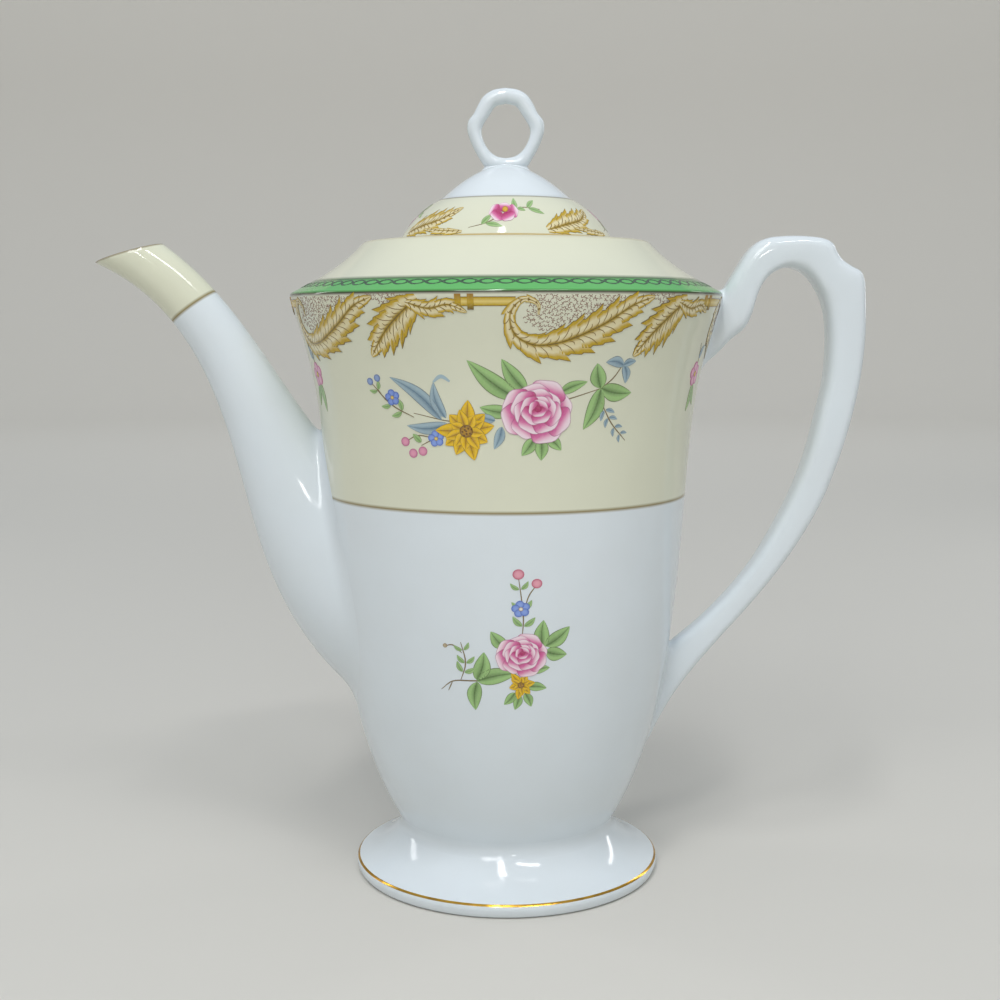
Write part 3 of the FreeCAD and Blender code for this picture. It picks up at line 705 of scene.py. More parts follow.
def ring_finial():
    """Ring with knuckled sides, thickened to a short neck that spreads onto the crown."""
    round_steps, wire_steps = 144, 28
    bearings = math.pi * (2 * np.arange(round_steps) / round_steps - 1)
    outsides = ring_reach(RING_OUTSIDE, bearings)
    holes = ring_reach(RING_HOLE, bearings)
    verts = []
    for bearing, outside, hole in zip(bearings, outsides, holes):
        for wire in range(wire_steps):
            turn = 2 * math.pi * wire / wire_steps
            reach = (outside + hole) / 2 + (outside - hole) / 2 * math.cos(turn)
            verts.append((reach * math.sin(bearing), RING_DEPTH * math.sin(turn),
                          RING_CENTRE + reach * math.cos(bearing)))
    faces = grid_faces(round_steps, wire_steps, closed=True)
    crown_level = np.interp(FINIAL_NECK_SPREAD, dome_outside[:, 0], dome_outside[:, 1])
    spread = (crown_level - SEAM_SINK, FINIAL_NECK_SPREAD, FINIAL_NECK_SPREAD)
    neck = through(FINIAL_NECK + [spread], 6)
    start = len(verts)
    for step in range(round_steps):
        angle = 2 * math.pi * step / round_steps
        verts += [(wide * math.cos(angle), deep * math.sin(angle), level) for level, wide, deep in neck]
    faces += grid_faces(round_steps, len(neck), start) + end_caps(round_steps, len(neck), start)
    piece = make_piece("ring_finial_glazed", verts, faces, [white_glaze], crease=60)
    return finish_piece(piece, "lid", "ring_finial")


def foot_gold_line():
    """Thin gold line round the edge of the foot."""
    edge = soften(spline(FOOT_FLARE, 40), spline(FOOT_EDGE, 20), FOOT_EDGE_ROUNDING)
    low, high, proud = 3.3, 3.95, 0.05
    run = edge[(edge[:, 1] > low) & (edge[:, 1] < high)]
    lift = np.array([proud, 0.0])
    profile = np.vstack([run + lift, run[::-1] - lift])
    verts, faces, _ = turned(profile, closed=True)
    piece = make_piece("foot_gold_line", verts, faces, [gold], crease=30)
    return finish_piece(piece, "pot")


# Enamel prints: flat drawings in millimetres, wrapped round the pot

PRINT_LIFT = 0.03
PRINT_LAYER = 0.02
PRINT_SINK = 0.04
LEAF_GREEN = ("#4D5A30", "#A2CB82", "#4E6E38")
SOFT_GREEN = ("#5D6B3C", "#A3C785", "#6E9253")
SLATE_BLUE = ("#56626C", "#A3BBC6", "#55748A")
MARIGOLD = ("#7E5E14", "#F2C60A", "#96690C")
ROSE_LINE = "#A06188"
ROSE_PALE = "#F5E0E9"
ROSE_MID = "#D767A2"
ROSE_DEEP = "#B42A6B"
SCROLL_LINE = "#5C4608"
SCROLL_OCHRE = "#C2A000"
SCROLL_PALE = "#F0EBCC"
STEM = "#7A6A48"
CHAIN_GREEN = "#174A2A"
BLUE_PETAL = ("#86A2E4", "#4766BC")
YELLOW_HEART = "#E8D27A"
RED_BUD = ("#E7A3B4", "#B94A6A")
STALK = 0.35
TWIG = 0.28


def tone(hex_colour):
    """A colour to reckon with, from a hex value."""
    return np.array(srgb(hex_colour))


def blend(first, second, share):
    """A colour that share of the way from the first to the second."""
    return (1 - share) * first + share * second


class Drawing:
    """A flat drawing: small sheets of coloured points, each on a layer of its own."""

    def __init__(self):
        self.sheets = []

    def sheet(self, points, colours, layer, loop=False):
        """Add a grid of points, row by row; a loop closes round its columns."""
        self.sheets.append((np.array(points, float), np.array(colours, float), layer, loop))

    def leaf(self, base, tip, width, tones, layer, bow=0.0):
        """A pointed leaf or petal with a fine edge line and shading that runs out along its midrib."""
        line, fill, deep = [tone(colour) for colour in tones]
        base, tip = np.array(base, float), np.array(tip, float)
        axis = tip - base
        across = np.array([-axis[1], axis[0]]) / np.linalg.norm(axis)
        points, colours = [], []
        for place in np.linspace(0, 1, 15):
            spine = base + place * axis + across * bow * math.sin(math.pi * place)
            half = width / 2 * math.sin(math.pi * place ** 0.8) ** 0.85 + 0.03
            fade = 1 - place
            shades = [line, blend(fill, line, 0.12), blend(fill, deep, 0.18 * fade),
                      blend(fill, deep, 0.25 + 0.6 * fade), deep,
                      blend(fill, deep, 0.35 + 0.6 * fade), blend(fill, deep, 0.45 * fade),
                      blend(fill, line, 0.2), line]
            points.append([spine + across * half * side
                           for side in (-1, -0.86, -0.5, -0.12, 0, 0.12, 0.5, 0.86, 1)])
            colours.append(shades)
        self.sheet(points, colours, layer)

    def disc(self, centre, outline, shade, layer):
        """A filled outline; shade gives the colour from the share of the way out and the point."""
        centre = np.array(centre, float)
        points, colours = [], []
        for share in (0, 0.3, 0.6, 0.86, 0.93, 1):
            ring = centre + share * (outline - centre)
            points.append(ring)
            colours.append([shade(share, point) for point in ring])
        self.sheet(points, colours, layer, loop=True)

    def dot(self, centre, radius, fill, edge, layer):
        """A round bud, berry or eye with a darker edge."""
        angles = np.linspace(0, 2 * math.pi, 14, endpoint=False)
        outline = np.array(centre) + radius * np.column_stack([np.cos(angles), np.sin(angles)])
        inner, outer = tone(fill), tone(edge)
        self.disc(centre, outline, lambda share, point: blend(inner, outer, share ** 3), layer)

    def stroke(self, points, width, colour, layer, steps=5):
        """A pen line through the points that thins at both ends."""
        line = through(points, steps)
        _, across = directions(line)
        places = np.linspace(0, 1, len(line))
        half = width / 2 * (0.45 + 0.55 * np.sin(math.pi * places))[:, None]
        grid = np.stack([line - across * half, line + across * half], axis=1)
        self.sheet(grid, np.broadcast_to(tone(colour), (*grid.shape[:2], 4)), layer)

    def rose_petal(self, centre, size, heading, layer):
        """A cupped petal: pale towards its outer edge, deep pink towards the flower's heart."""
        angles = np.linspace(0, 2 * math.pi, 26, endpoint=False)
        reach = 1 + 0.05 * np.cos(5 * angles + heading)
        out = np.array([math.cos(heading), math.sin(heading)])
        side = np.array([-out[1], out[0]])
        outline = np.array(centre) + size * (np.outer(0.82 * reach * np.cos(angles), out)
                                             + np.outer(1.12 * reach * np.sin(angles), side))
        pale, middle, deep, line = [tone(c) for c in (ROSE_PALE, ROSE_MID, ROSE_DEEP, ROSE_LINE)]

        def shade(share, point):
            """Deeper pink towards the heart, with a line along the edge."""
            outward = (point - centre) @ out / (0.82 * size)
            colour = blend(deep, middle, np.clip(0.7 + 1.6 * outward, 0, 1))
            colour = blend(colour, pale, np.clip(2.0 * outward - 0.45, 0, 1))
            return blend(colour, line, 0.85 * (share == 1))
        self.disc(centre, outline, shade, layer)

    def rose(self, centre, radius, layer):
        """A cabbage rose: rings of petals that close towards a heart a little above its middle."""
        centre = np.array(centre, float)
        rings = ((8, 0.66, 0.42, 0.3, 0.0), (7, 0.42, 0.37, 0.75, 0.04),
                 (5, 0.24, 0.29, 0.2, 0.07), (3, 0.1, 0.2, 0.9, 0.1))
        for count, reach, size, twist, lift in rings:
            for number in range(count):
                stray = math.sin(2.3 * number + 9 * reach)
                heading = twist + 2 * math.pi * number / count + 0.12 * stray
                out = np.array([math.cos(heading), 0.86 * math.sin(heading)])
                middle = centre + radius * (reach * (1 + 0.06 * stray) * out + np.array([0, lift]))
                self.rose_petal(middle, size * radius * (1 + 0.1 * stray), heading, layer)
                layer += 0.4
        self.dot(centre + np.array([0, 0.1 * radius]), 0.1 * radius, ROSE_DEEP, "#9C2458", layer)

    def daisy(self, centre, radius, petals, layer):
        """An open flower of two rows of pointed petals round a stippled heart."""
        centre = np.array(centre, float)
        for reach, turn in ((1.0, 0.2), (0.72, 0.55)):
            for number in range(petals):
                heading = turn + 2 * math.pi * number / petals + 0.14 * math.sin(5.1 * number)
                out = np.array([math.cos(heading), math.sin(heading)])
                tip = centre + reach * radius * (1 + 0.16 * math.sin(3.7 * number)) * out
                self.leaf(centre + 0.1 * radius * out, tip, 0.56 * radius * reach, MARIGOLD, layer)
                layer += 0.4
        self.dot(centre, 0.24 * radius, "#B98A1E", "#5F3F14", layer)
        for number in range(9):
            angle = 2.4 * number
            out = np.array([math.cos(angle), math.sin(angle)])
            speck = centre + 0.07 * radius * math.sqrt(number) * out
            self.dot(speck, 0.035 * radius, "#6A4515", "#4E3210", layer + 1)

    def sprig(self, points, pairs, leaf, tones, layer, tip_bud=None):
        """A stem with leaves in pairs, and a bud at its tip if its radius, fill and edge are given."""
        stem = through(points, 8)
        self.stroke(points, 0.3, STEM, layer)
        for number in range(pairs):
            place = int((number + 1) / (pairs + 0.6) * (len(stem) - 1))
            along = stem[min(place + 1, len(stem) - 1)] - stem[place - 1]
            along /= np.linalg.norm(along)
            across = np.array([-along[1], along[0]])
            shrink = 1 - 0.35 * number / max(pairs, 1)
            for side in (-1, 1):
                base = stem[place] + 0.25 * side * across
                tip = base + leaf * shrink * (0.75 * along + 0.72 * side * across)
                self.leaf(base, tip, 0.42 * leaf * shrink, tones, layer + 1, 0.08 * leaf * side)
        if tip_bud:
            self.dot(stem[-1], *tip_bud, layer + 2)

    def blossom(self, centre, radius, fill, edge, heart, layer):
        """A small open flower of five round petals."""
        petals = 5
        centre = np.array(centre, float)
        for number in range(petals):
            heading = 0.5 + 2 * math.pi * number / petals
            middle = centre + 0.58 * radius * np.array([math.cos(heading), math.sin(heading)])
            self.dot(middle, 0.5 * radius, fill, edge, layer + 0.4 * number)
        self.dot(centre, 0.26 * radius, heart, "#8A5A12", layer + 0.4 * petals + 1)

    def acanthus(self, points, left, right, teeth, layer, fullest=0.8):
        """A toothed scroll leaf along a spine, with an ochre wash, pale flats and a hatched midrib.

        A larger value of fullest moves the leaf's broadest part towards its tip.
        """
        line, ochre, pale = tone(SCROLL_LINE), tone(SCROLL_OCHRE), tone(SCROLL_PALE)
        spine = through(points, 40)
        per_tooth = 12
        rows = per_tooth * teeth + 1
        curve = points_at(spine, np.linspace(0, lengths_along(spine)[-1], rows))
        along, across = directions(curve)
        swells = np.sin(math.pi * (0.08 + 0.92 * np.linspace(0, 1, rows)) ** fullest) ** 0.9 + 0.01
        sides = np.array([-1, -0.93, -0.8, -0.5, -0.22, -0.07, 0, 0.07, 0.22, 0.5, 0.8, 0.93, 1])
        grid, colours = [], []
        for row in range(rows):
            share = (row % per_tooth) / per_tooth
            tooth = 0.56 + 0.42 * share ** 1.3 + 0.1 * ((3 * share) % 1)
            halves = np.where(sides < 0, right, left) * np.abs(sides) * swells[row] * tooth
            lean = 0.7 * halves * share
            grid.append([curve[row] + across[row] * math.copysign(half, side) + along[row] * shift
                         for half, side, shift in zip(halves, sides, lean)])
            shades = [line, blend(ochre, line, 0.1), ochre, blend(pale, ochre, 0.1 + 0.3 * share),
                      blend(pale, ochre, 0.4), blend(ochre, line, 0.3), line]
            colours.append(shades + shades[-2::-1])
        self.sheet(grid, colours, layer)
        for row in range(2, rows - per_tooth // 2, 4):
            for side, width in ((1, left), (-1, right)):
                long = (0.62, 0.24, 0.34)[(row // 4) % 3]
                start = curve[row] + side * across[row] * 0.06 * width * swells[row]
                end = start + long * swells[row] * width * (side * across[row] + 0.9 * along[row])
                middle = (start + end) / 2 + 0.08 * width * along[row]
                self.stroke([start, middle, end], 0.2, "#7A5C08", layer + 1, 3)

    def bar(self, ends, levels, tones, layer):
        """A level bar between two ends, with a tone for each of its levels."""
        places = np.linspace(*ends, 14)
        shades = [tone(colour) for colour in tones]
        self.sheet([[(x, z) for z in levels] for x in places], [shades] * len(places), layer)

    def pebbles(self, outline, spacing, random_marks, layer):
        """A ground of small curled pen marks inside an outline."""
        outline = np.array(outline, float)
        low, high = outline.min(axis=0), outline.max(axis=0)
        rows = int((high[1] - low[1]) / spacing)
        columns = int((high[0] - low[0]) / spacing)
        for row in range(rows + 1):
            for column in range(columns + 1):
                middle = low + spacing * (np.array([column + 0.5 * (row % 2), row])
                                          + random_marks.uniform(-0.18, 0.18, 2))
                if not within(middle, outline):
                    continue
                angle = random_marks.uniform(0, 2 * math.pi)
                bends = np.linspace(angle, angle + random_marks.uniform(2.6, 4.6), 4)
                ring = middle + 0.4 * spacing * np.column_stack([np.cos(bends), np.sin(bends)])
                self.stroke(ring, 0.2, "#8A6B5A", layer, 2)


def within(point, outline):
    """Whether a flat point lies inside an outline, by counting the edges above it."""
    inside = False
    for first, second in zip(outline, np.roll(outline, -1, axis=0)):
        if (first[0] > point[0]) != (second[0] > point[0]):
            share = (point[0] - first[0]) / (second[0] - first[0])
            if point[1] < first[1] + share * (second[1] - first[1]):
                inside = not inside
    return inside


def fired_enamel():
    """On-glaze enamel print: thin colour fired into the glaze, a shade less glossy than bare glaze."""
    material, tree, coords = new_material("fired_enamel_print")
    colour = add_node(tree, "ShaderNodeAttribute", attribute_name="print").outputs["Color"]
    grain = add_node(tree, "ShaderNodeTexNoise", {"Vector": coords, "Scale": per_mm(0.5), "Detail": 3.0})
    thin = add_node(tree, "ShaderNodeMapRange", {0: grain.outputs[0], 1: 0.35, 2: 0.75, 3: 0.0, 4: 0.1})
    worn = add_node(tree, "ShaderNodeMix", {"Factor": thin.outputs[0], "A": colour, "B": srgb("#E2DCC6")},
                    data_type="RGBA")
    shader = add_node(tree, "ShaderNodeBsdfPrincipled",
                      {"Base Color": worn.outputs["Result"], "Roughness": 0.16, "IOR": 1.5})
    add_node(tree, "ShaderNodeOutputMaterial", {"Surface": shader.outputs[0]})
    return material


enamel = fired_enamel()


def wrapped(profile, reference):
    """A way to lay flat points with a lift on a turned profile; reference turns width into angle."""
    profile = profile[np.argsort(profile[:, 1])]
    slopes = np.gradient(profile[:, 0], profile[:, 1])

    def lay(points, lift):
        """Points in space, that far above the surface."""
        angle = points[:, 0] / reference
        slope = np.interp(points[:, 1], profile[:, 1], slopes)
        out = lift / np.sqrt(1 + slope ** 2)
        radius = np.interp(points[:, 1], profile[:, 1], profile[:, 0]) + out
        height = points[:, 1] - slope * out
        return np.column_stack([radius * np.sin(angle), -radius * np.cos(angle), height])
    return lay


def print_piece(name, drawing, lay):
    """Turn a drawing into thin closed scales of enamel on a surface."""
    verts, faces, colours = [], [], []
    for points, shades, layer, loop in drawing.sheets:
        rows, columns = points.shape[:2]
        start = sum(len(block) for block in verts)
        flat = points.reshape(-1, 2)
        verts += [lay(flat, PRINT_LIFT + layer * PRINT_LAYER), lay(flat, -PRINT_SINK)]
        colours += [shades.reshape(-1, 4)] * 2
        under = rows * columns
        spans = columns if loop else columns - 1
        for row in range(rows - 1):
            for column in range(spans):
                onward = (column + 1) % columns
                corners = (row * columns + column, row * columns + onward,
                           (row + 1) * columns + onward, (row + 1) * columns + column)
                faces.append([start + corner for corner in corners])
                faces.append([start + under + corner for corner in corners[::-1]])
        top = [(rows - 1) * columns + column for column in range(columns)]
        if loop:
            edge = top + top[:1]
        else:
            right = [row * columns + columns - 1 for row in range(rows - 1, -1, -1)]
            bottom = list(range(columns - 1, -1, -1))
            left = [row * columns for row in range(rows)]
            edge = top + right[1:] + bottom[1:] + left[1:]
        for here, there in zip(edge, edge[1:]):
            faces.append([start + here, start + there, start + under + there, start + under + here])
    mesh = bpy.data.meshes.new(name)
    mesh.from_pydata(MM * np.vstack(verts), [], faces)
    colour_layer = mesh.color_attributes.new("print", "FLOAT_COLOR", "POINT")
    colour_layer.data.foreach_set("color", np.vstack(colours).ravel())
    mesh.materials.append(enamel)
    return to_object(name, mesh, crease=30, merge=1e-8)


def repeat_tree():
    """Geometry Nodes that set copies of a print evenly round the pot's axis."""
    tree = bpy.data.node_groups.new("repeat_round_axis", "GeometryNodeTree")
    tree.interface.new_socket("Print", in_out="INPUT", socket_type="NodeSocketGeometry")
    copies = tree.interface.new_socket("Copies", in_out="INPUT", socket_type="NodeSocketInt")
    enamel_socket = tree.interface.new_socket("Enamel", in_out="INPUT", socket_type="NodeSocketMaterial")
    tree.interface.new_socket("Prints", in_out="OUTPUT", socket_type="NodeSocketGeometry")
    given = add_node(tree, "NodeGroupInput").outputs
    places = add_node(tree, "GeometryNodePoints", {"Count": given["Copies"]})
    order = add_node(tree, "GeometryNodeInputIndex")
    step = add_node(tree, "ShaderNodeMath", {0: 2 * math.pi, 1: given["Copies"]}, operation="DIVIDE")
    angle = add_node(tree, "ShaderNodeMath", {0: order.outputs[0], 1: step.outputs[0]},
                     operation="MULTIPLY")
    turn = add_node(tree, "ShaderNodeCombineXYZ", {"Z": angle.outputs[0]})
    copied = add_node(tree, "GeometryNodeInstanceOnPoints", {
        "Points": places.outputs[0], "Instance": given["Print"], "Rotation": turn.outputs[0]})
    real = add_node(tree, "GeometryNodeRealizeInstances", {0: copied.outputs[0]})
    coated = add_node(tree, "GeometryNodeSetMaterial",
                      {"Geometry": real.outputs[0], "Material": given["Enamel"]})
    add_node(tree, "NodeGroupOutput", {0: coated.outputs[0]})
    return tree, copies.identifier, enamel_socket.identifier


repeating, copies_input, enamel_input = repeat_tree()


def repeated(piece, copies):
    """Set copies of a print round the axis and turn the result into a plain mesh."""
    modifier = piece.modifiers.new("repeat", "NODES")
    modifier.node_group = repeating
    modifier[copies_input] = copies
    modifier[enamel_input] = enamel
    return applied(piece, modifier)


SPRAY_RADIUS = 48.5


def flower_spray():
    """The spray on the cream band, front and back: a rose and a marigold among leaves and sprigs."""
    spray = Drawing()
    spray.stroke([(-22, 130.5), (-10, 128.5), (3, 131), (14, 134), (22, 136.5)], STALK, STEM, 0)
    for base, tip, width, bow in [
            ((3, 134), (-8.5, 143.5), 4.6, 0.7), ((4.5, 136), (-1, 143.8), 3.8, 0.4),
            ((1, 131), (-6, 132.2), 3.4, 0.4), ((12, 135.5), (18.5, 138.2), 2.6, 0.3),
            ((22, 136.5), (20.5, 142.6), 4.0, 0.3), ((22, 136.5), (30.5, 135.2), 4.4, -0.6),
            ((22, 136.5), (18.2, 126.5), 4.2, 0.8), ((6.5, 124.6), (3.6, 120.4), 3.0, 0.2),
            ((8, 124.4), (8.2, 119.2), 3.2, 0.2), ((9.6, 124.8), (13, 121.6), 2.8, 0.2)]:
        spray.leaf(base, tip, width, LEAF_GREEN, 1, bow)
    for base, tip, width, bow in [
            ((-15, 129), (-27.5, 139.2), 3.4, -1.3), ((-14, 129.5), (-16.5, 138.2), 2.8, 1.0),
            ((-13.5, 128), (-24, 127.4), 3.0, 0.9), ((-1, 127.5), (-2.8, 122), 2.4, 0.3),
            ((-2.5, 129), (-6.4, 130.6), 2.2, 0.3)]:
        spray.leaf(base, tip, width, SLATE_BLUE, 2, bow)
    spray.stroke([(-16.5, 138.2), (-14.6, 139.6), (-12.6, 138.4)], 0.9, SLATE_BLUE[1], 2)
    blue_bud = (0.9, "#8FA7D2", "#5468A0")
    spray.sprig([(-22, 129.5), (-28, 132.5), (-33.5, 138)], 3, 3.0, SOFT_GREEN, 2, blue_bud)
    spray.stroke([(-29.5, 133.5), (-31.5, 136.5), (-31.2, 138.6)], TWIG, STEM, 2)
    spray.dot((-31.2, 138.9), *blue_bud, 4)
    spray.blossom((-27.4, 134.2), 1.9, "#7F9BE0", "#3E5FB8", YELLOW_HEART, 4)
    spray.stroke([(-13, 127), (-17, 124.5), (-20.5, 122.6)], TWIG, STEM, 1)
    spray.stroke([(-17, 124.5), (-21.5, 125), (-24.6, 123.4)], TWIG, STEM, 1)
    for berry in ((-22.8, 120.6), (-20.2, 121.2), (-24.8, 123.4)):
        spray.dot(berry, 1.15, "#E39BB6", "#B65A86", 3)
    spray.leaf((-20.5, 123.4), (-22.6, 125.4), 1.5, SOFT_GREEN, 3)
    spray.blossom((-16.6, 124.4), 1.9, *BLUE_PETAL, YELLOW_HEART, 3)
    spray.sprig([(22.5, 133), (25.5, 128), (30, 123.4)], 4, 2.5, SLATE_BLUE, 1)
    spray.stroke([(22, 136.5), (25, 139), (27.2, 142.4)], TWIG, STEM, 1)
    spray.leaf((27.4, 142), (22.6, 142.8), 2.6, SLATE_BLUE, 3, -0.6)
    spray.leaf((27.4, 142), (28.4, 137.6), 2.2, SLATE_BLUE, 3, 0.5)
    spray.leaf((27.2, 142), (30.6, 143), 1.8, SLATE_BLUE, 3, 0.3)
    for side in (-1, 1):
        spray.stroke([(57 * side, 147), (58.5 * side, 142), (57.5 * side, 136)], TWIG, STEM, 1)
        spray.leaf((58.2 * side, 143), (60.8 * side, 146.4), 2.0, SLATE_BLUE, 2, 0.3)
        spray.leaf((58.0 * side, 137.5), (55.2 * side, 129.4), 2.6, SOFT_GREEN, 2, 0.5)
        spray.leaf((57.6 * side, 136.5), (60.2 * side, 130.8), 2.4, SOFT_GREEN, 2, -0.4)
        spray.blossom((57.6 * side, 139.0), 3.0, "#E7A9C6", "#BD5B92", "#E4BC4A", 3)
    spray.daisy((-9.2, 126.4), 6.6, 9, 4)
    spray.rose((7.2, 131.0), 8.2, 4)
    return repeated(print_piece("flower_spray_print", spray, wrapped(outside_wall, SPRAY_RADIUS)), 2)


SPRIG_RADIUS = 42.5


def lower_sprig():
    """The small rose sprig low on the white wall, front and back."""
    sprig = Drawing()
    sprig.stroke([(-16, 60.6), (-13, 63), (-8, 63.4), (0, 64), (4, 70)], STALK, STEM, 0)
    sprig.stroke([(-13, 63), (-14.2, 60.4)], TWIG, STEM, 0)
    for base, tip, width, bow in [
            ((-7, 63.6), (-5.2, 71), 4.0, -0.5), ((-7, 63.4), (2.5, 65.6), 4.2, 0.4),
            ((-7, 63.2), (-7.6, 55.6), 3.6, -0.5), ((0, 72), (-3.6, 76.4), 3.2, 0.3),
            ((8.4, 72), (8.4, 79.2), 3.6, 0.4), ((9, 72.4), (14.6, 77.2), 3.8, -0.4),
            ((9, 71), (14.2, 70.0), 3.6, -0.3), ((5.5, 66), (10.2, 66.8), 2.4, 0.2),
            ((5, 62), (9.6, 61.4), 2.4, 0.2), ((2, 60.4), (-0.6, 57.2), 2.2, 0.2),
            ((3, 60), (2, 55.8), 2.2, 0.2), ((4.4, 60.2), (6, 56.6), 2.2, 0.2)]:
        sprig.leaf(base, tip, width, LEAF_GREEN, 1, bow)
    sprig.sprig([(3.4, 74), (3.8, 79), (3.4, 84), (2.6, 90.4)], 3, 3.2, SOFT_GREEN, 1)
    sprig.stroke([(4, 82), (5, 85.6), (6.6, 88.2)], TWIG, STEM, 1)
    sprig.dot((2.6, 91), 1.3, *RED_BUD, 3)
    sprig.dot((6.7, 88.6), 1.2, *RED_BUD, 3)
    sprig.blossom((3.2, 82.2), 2.0, *BLUE_PETAL, "#EFEBDC", 4)
    sprig.sprig([(-11, 63.2), (-9.6, 68), (-10.6, 73.4)], 3, 2.9, SOFT_GREEN, 1)
    sprig.stroke([(-10.4, 70.6), (-12.6, 72.6), (-14.4, 72.2)], TWIG, STEM, 2)
    sprig.dot((-14.4, 72.3), 0.55, "#B9A98A", "#8C7A58", 2)
    sprig.daisy((3.4, 62.4), 3.4, 6, 3)
    sprig.rose((3.6, 70.2), 6.0, 4)
    return repeated(print_piece("lower_sprig_print", sprig, wrapped(outside_wall, SPRIG_RADIUS)), 2)


BORDER_REPEATS = 5
BORDER_RADIUS = 57.0
BORDER_TOP = 159.1


def scroll_border():
    """The border under the rim: scrolled acanthus leaves, short bars and panels of curled marks."""
    border = Drawing()
    length = 2 * math.pi * BORDER_RADIUS / BORDER_REPEATS
    marks = np.random.default_rng(11)
    panel = [(3.5, 153.0), (9.0, 150.0), (15.5, 152.2), (22, 154.0), (30, 158.6), (7, BORDER_TOP)]
    border.pebbles(panel, 0.85, marks, 0)
    border.pebbles([(40, 157.0), (46, 156.4), (49.5, BORDER_TOP), (36, BORDER_TOP)], 0.85, marks, 0)
    scroll = [(7.6, 154.2), (7.4, 156.6), (4.0, 157.8), (1.0, 154.6), (2.0, 149.8), (6.6, 147.2)]
    scroll += [(12, 147.4), (18, 149.2), (25, 152.4), (32, 156.6), (38, 158.6)]
    border.acanthus(scroll, 4.8, 5.6, 10, 4, 1.7)
    border.acanthus([(50.5, 158.0), (45.5, 154.6), (40, 150), (34.6, 144.2)], 6.0, 5.6, 5, 6)
    border.acanthus([(47.5, 157.2), (53.0, 155.8), (58.0, 156.6), (62.5, 154.8)], 2.4, 2.8, 4, 8)
    bar_tones = (SCROLL_LINE, SCROLL_OCHRE, "#E6CF7A", SCROLL_OCHRE, SCROLL_LINE)
    border.bar((60.5, length + 2.2), (156.2, 156.5, 157.3, 158.1, 158.4), bar_tones, 1)
    clasp_tones = (SCROLL_LINE, SCROLL_OCHRE, "#9A6F22")
    for clasp in (59.6, 62.6):
        border.bar((clasp, clasp + 1.5), (155.4, 157.2, BORDER_TOP), clasp_tones, 6)
    lay = wrapped(outside_wall, BORDER_RADIUS)
    return repeated(print_piece("scroll_border_print", border, lay), BORDER_REPEATS)


CHAIN_LINKS = 78
CHAIN_LEVEL = 162.1
CHAIN_HALF_HEIGHT = 0.55
CHAIN_RADIUS = 54.3
CHAIN_LINE = 0.32


def rim_chain():
    """The pen-line chain of long and crossed links on the upper half of the green rim."""
    chain = Drawing()
    pitch = 2 * math.pi * CHAIN_RADIUS / CHAIN_LINKS
    angles = np.linspace(0, 2 * math.pi, 13)
    levels = CHAIN_LEVEL + CHAIN_HALF_HEIGHT * np.sin(angles)
    oval = np.column_stack([0.36 * pitch * np.cos(angles), levels])
    chain.stroke(oval, CHAIN_LINE, CHAIN_GREEN, 0, 2)
    for slant in (-1, 1):
        rise = 0.8 * slant * CHAIN_HALF_HEIGHT
        cross = [(share * pitch, CHAIN_LEVEL + 5 * rise * (share - 0.5)) for share in (0.3, 0.5, 0.7)]
        chain.stroke(cross, CHAIN_LINE, CHAIN_GREEN, 1 + 0.5 * slant, 3)
    return repeated(print_piece("rim_chain_print", chain, wrapped(outside_wall, CHAIN_RADIUS)), CHAIN_LINKS)


LID_REPEATS = 4
LID_RADIUS = 24.0


def lid_blossoms():
    """Small pink blossoms between ochre scroll leaves on the lid's cream band."""
    lid_print = Drawing()
    lid_print.stroke([(-8.5, 176.2), (-4.5, 177.4), (-1, 179.4), (4, 181.4), (9, 181.0)], TWIG, STEM, 0)
    for base, tip, width in [
            ((-5.6, 177.0), (-3.4, 179.6), 1.3), ((-4.6, 177.2), (-0.8, 176.4), 1.2),
            ((2.6, 181.0), (2.2, 184.0), 1.5), ((3.0, 181.2), (5.0, 180.6), 1.0),
            ((5.6, 181.4), (8.2, 183.4), 1.2), ((6.0, 181.2), (9.8, 179.8), 1.2)]:
        lid_print.leaf(base, tip, width, SOFT_GREEN, 1, 0.15)
    for number, heading in enumerate((0.2, 1.5, 2.8, 4.0, 5.2)):
        middle = np.array([-0.6, 180.2]) + np.array([2.4 * math.cos(heading), 1.2 * math.sin(heading)])
        lid_print.rose_petal(middle, 1.6, heading, 2 + 0.4 * number)
    lid_print.dot((-0.2, 180.9), 0.8, "#DDAE2E", "#9A6A18", 5)
    half = math.pi * LID_RADIUS / LID_REPEATS
    tall_leaf = [(half - 9.5, 175.6), (half - 4, 177.2), (half + 1.5, 178.6), (half + 7.0, 181.6)]
    lid_print.acanthus(tall_leaf, 3.6, 3.0, 5, 1)
    lid_print.acanthus([(half + 9.0, 175.3), (half + 3.5, 175.7), (half - 2.5, 176.4)], 1.5, 0.7, 3, 4)
    lay = wrapped(dome_outside, LID_RADIUS)
    return repeated(print_piece("lid_blossom_print", lid_print, lay), LID_REPEATS)


body_shell()
pedestal_foot()
spout()
handle()
lid()
ring_finial()
foot_gold_line()
for pot_print in (flower_spray(), lower_sprig(), scroll_border(), rim_chain()):
    finish_piece(pot_print, "pot")
finish_piece(lid_blossoms(), "lid")


# Studio

def studio_surface():
    """Plain pale studio paper: matt and even."""
    material = bpy.data.materials.new("pale_studio_paper")
    material.use_nodes = True
    shader = material.node_tree.nodes["Principled BSDF"]
    shader.inputs["Base Color"].default_value = srgb("#D6D3CC")
    shader.inputs["Roughness"].default_value = 0.75
    return material


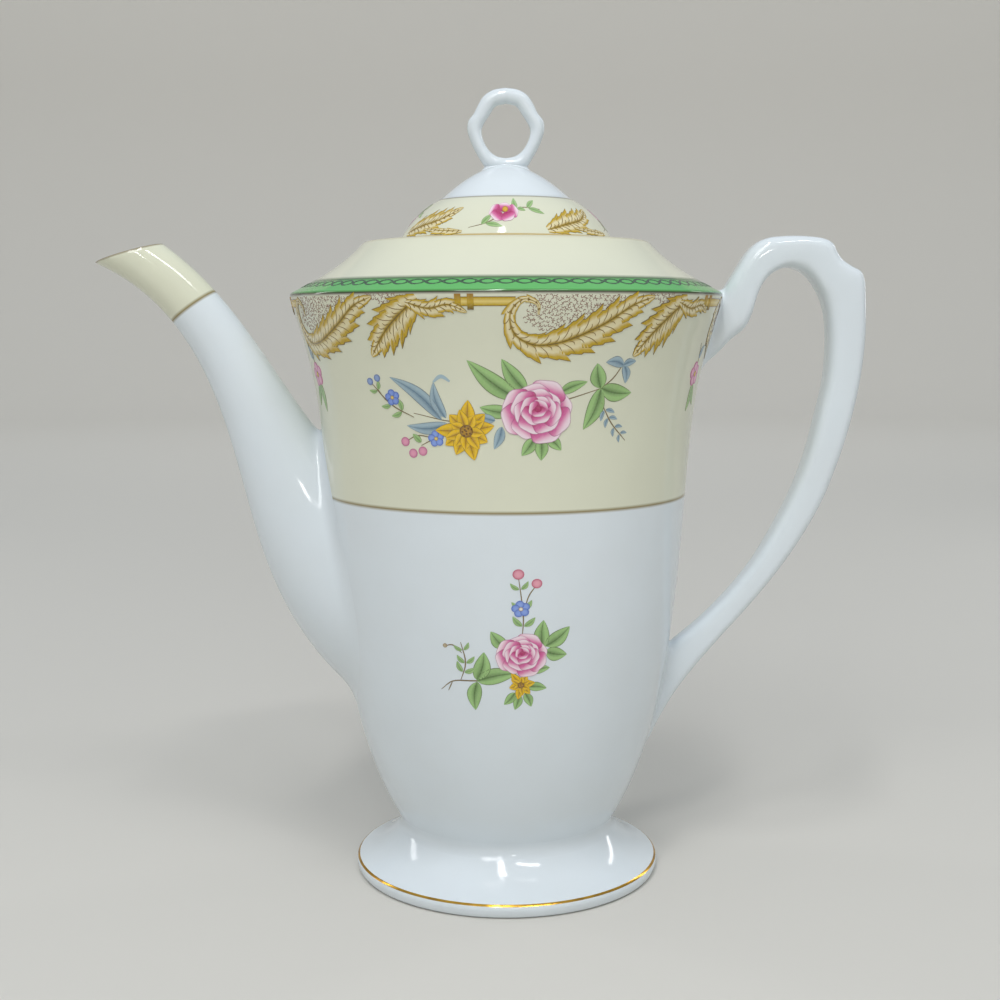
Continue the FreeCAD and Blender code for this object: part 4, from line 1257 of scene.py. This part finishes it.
def backdrop():
    """A wide round sweep of paper: floor, soft bend and a low wall all round the pot."""
    radius, bend, height, steps = 2500, 600, 1300, 16
    profile = [(0.0, 0.0), (radius - bend, 0.0)]
    for step in range(1, steps + 1):
        angle = math.pi / 2 * step / steps
        profile.append((radius - bend + bend * math.sin(angle), bend - bend * math.cos(angle)))
    profile.append((radius, height))
    verts, faces, _ = turned(profile)
    make_piece("studio_sweep", verts, faces, [studio_surface()])


def softbox(name, place, aim, width, height, power):
    """A rectangular white studio light; place, aim and size in millimetres, power in watts."""
    light = bpy.data.lights.new(name, "AREA")
    light.shape = "RECTANGLE"
    light.size = width * MM
    light.size_y = height * MM
    light.energy = power
    holder = bpy.data.objects.new(name, light)
    holder.location = MM * Vector(place)
    holder.rotation_euler = (Vector(aim) - Vector(place)).to_track_quat("-Z", "Y").to_euler()
    bpy.context.scene.collection.objects.link(holder)


def studio():
    """Paper, soft lights, and a sky that brightens upwards."""
    backdrop()
    world = bpy.context.scene.world or bpy.data.worlds.new("studio")
    bpy.context.scene.world = world
    world.use_nodes = True
    tree = world.node_tree
    shade = tree.nodes["Background"]
    shade.inputs["Color"].default_value = srgb("#DCE4EC")
    heading = add_node(tree, "ShaderNodeTexCoord").outputs["Generated"]
    upward = add_node(tree, "ShaderNodeSeparateXYZ", {0: heading}).outputs["Z"]
    horizon, zenith = 0.06, 0.76
    glow = add_node(tree, "ShaderNodeMapRange", {0: upward, 1: -0.1, 2: 0.9, 3: horizon, 4: zenith})
    tree.links.new(glow.outputs[0], shade.inputs["Strength"])
    middle = (0, 0, 100)
    softbox("key", (-250, -820, 850), middle, 380, 380, 2.8)
    softbox("fill", (800, -600, 500), middle, 500, 700, 0.4)
    softbox("backdrop_light", (0, 900, 1500), (0, 2500, 700), 2400, 300, 12.0)
    softbox("window_strip", (640, 470, 360), middle, 50, 420, 0.47)
    softbox("door_strip", (-760, 330, 380), middle, 90, 460, 0.59)
    softbox("ceiling_tube", (-60, -420, 900), middle, 60, 360, 1.6)
    softbox("right_tube", (270, -480, 880), middle, 320, 60, 1.1)
    softbox("front_panel", (120, -950, 400), middle, 90, 36, 0.3)
    softbox("second_panel", (-120, -900, 560), middle, 90, 30, 0.3)


def camera():
    """The photograph's viewpoint: a little above the pot's middle, looking slightly down."""
    place = (0.0, -401.4, 153.0)
    focal_pixels, frame_pixels, sensor = 1461.1, 1000, 36.0
    pitch, yaw, roll = math.radians(7.03), math.radians(-0.25), math.radians(-0.1)
    data = bpy.data.cameras.new("viewpoint")
    data.sensor_width = sensor
    data.lens = focal_pixels / frame_pixels * sensor
    data.clip_start, data.clip_end = 0.01, 20
    eye = bpy.data.objects.new("viewpoint", data)
    eye.matrix_world = (Matrix.Translation(MM * Vector(place)) @ Matrix.Rotation(-yaw, 4, "Z")
                        @ Matrix.Rotation(math.pi / 2 - pitch, 4, "X") @ Matrix.Rotation(roll, 4, "Z"))
    bpy.context.scene.collection.objects.link(eye)
    bpy.context.scene.camera = eye


studio()
camera()
bpy.context.scene.view_settings.view_transform = "Standard"
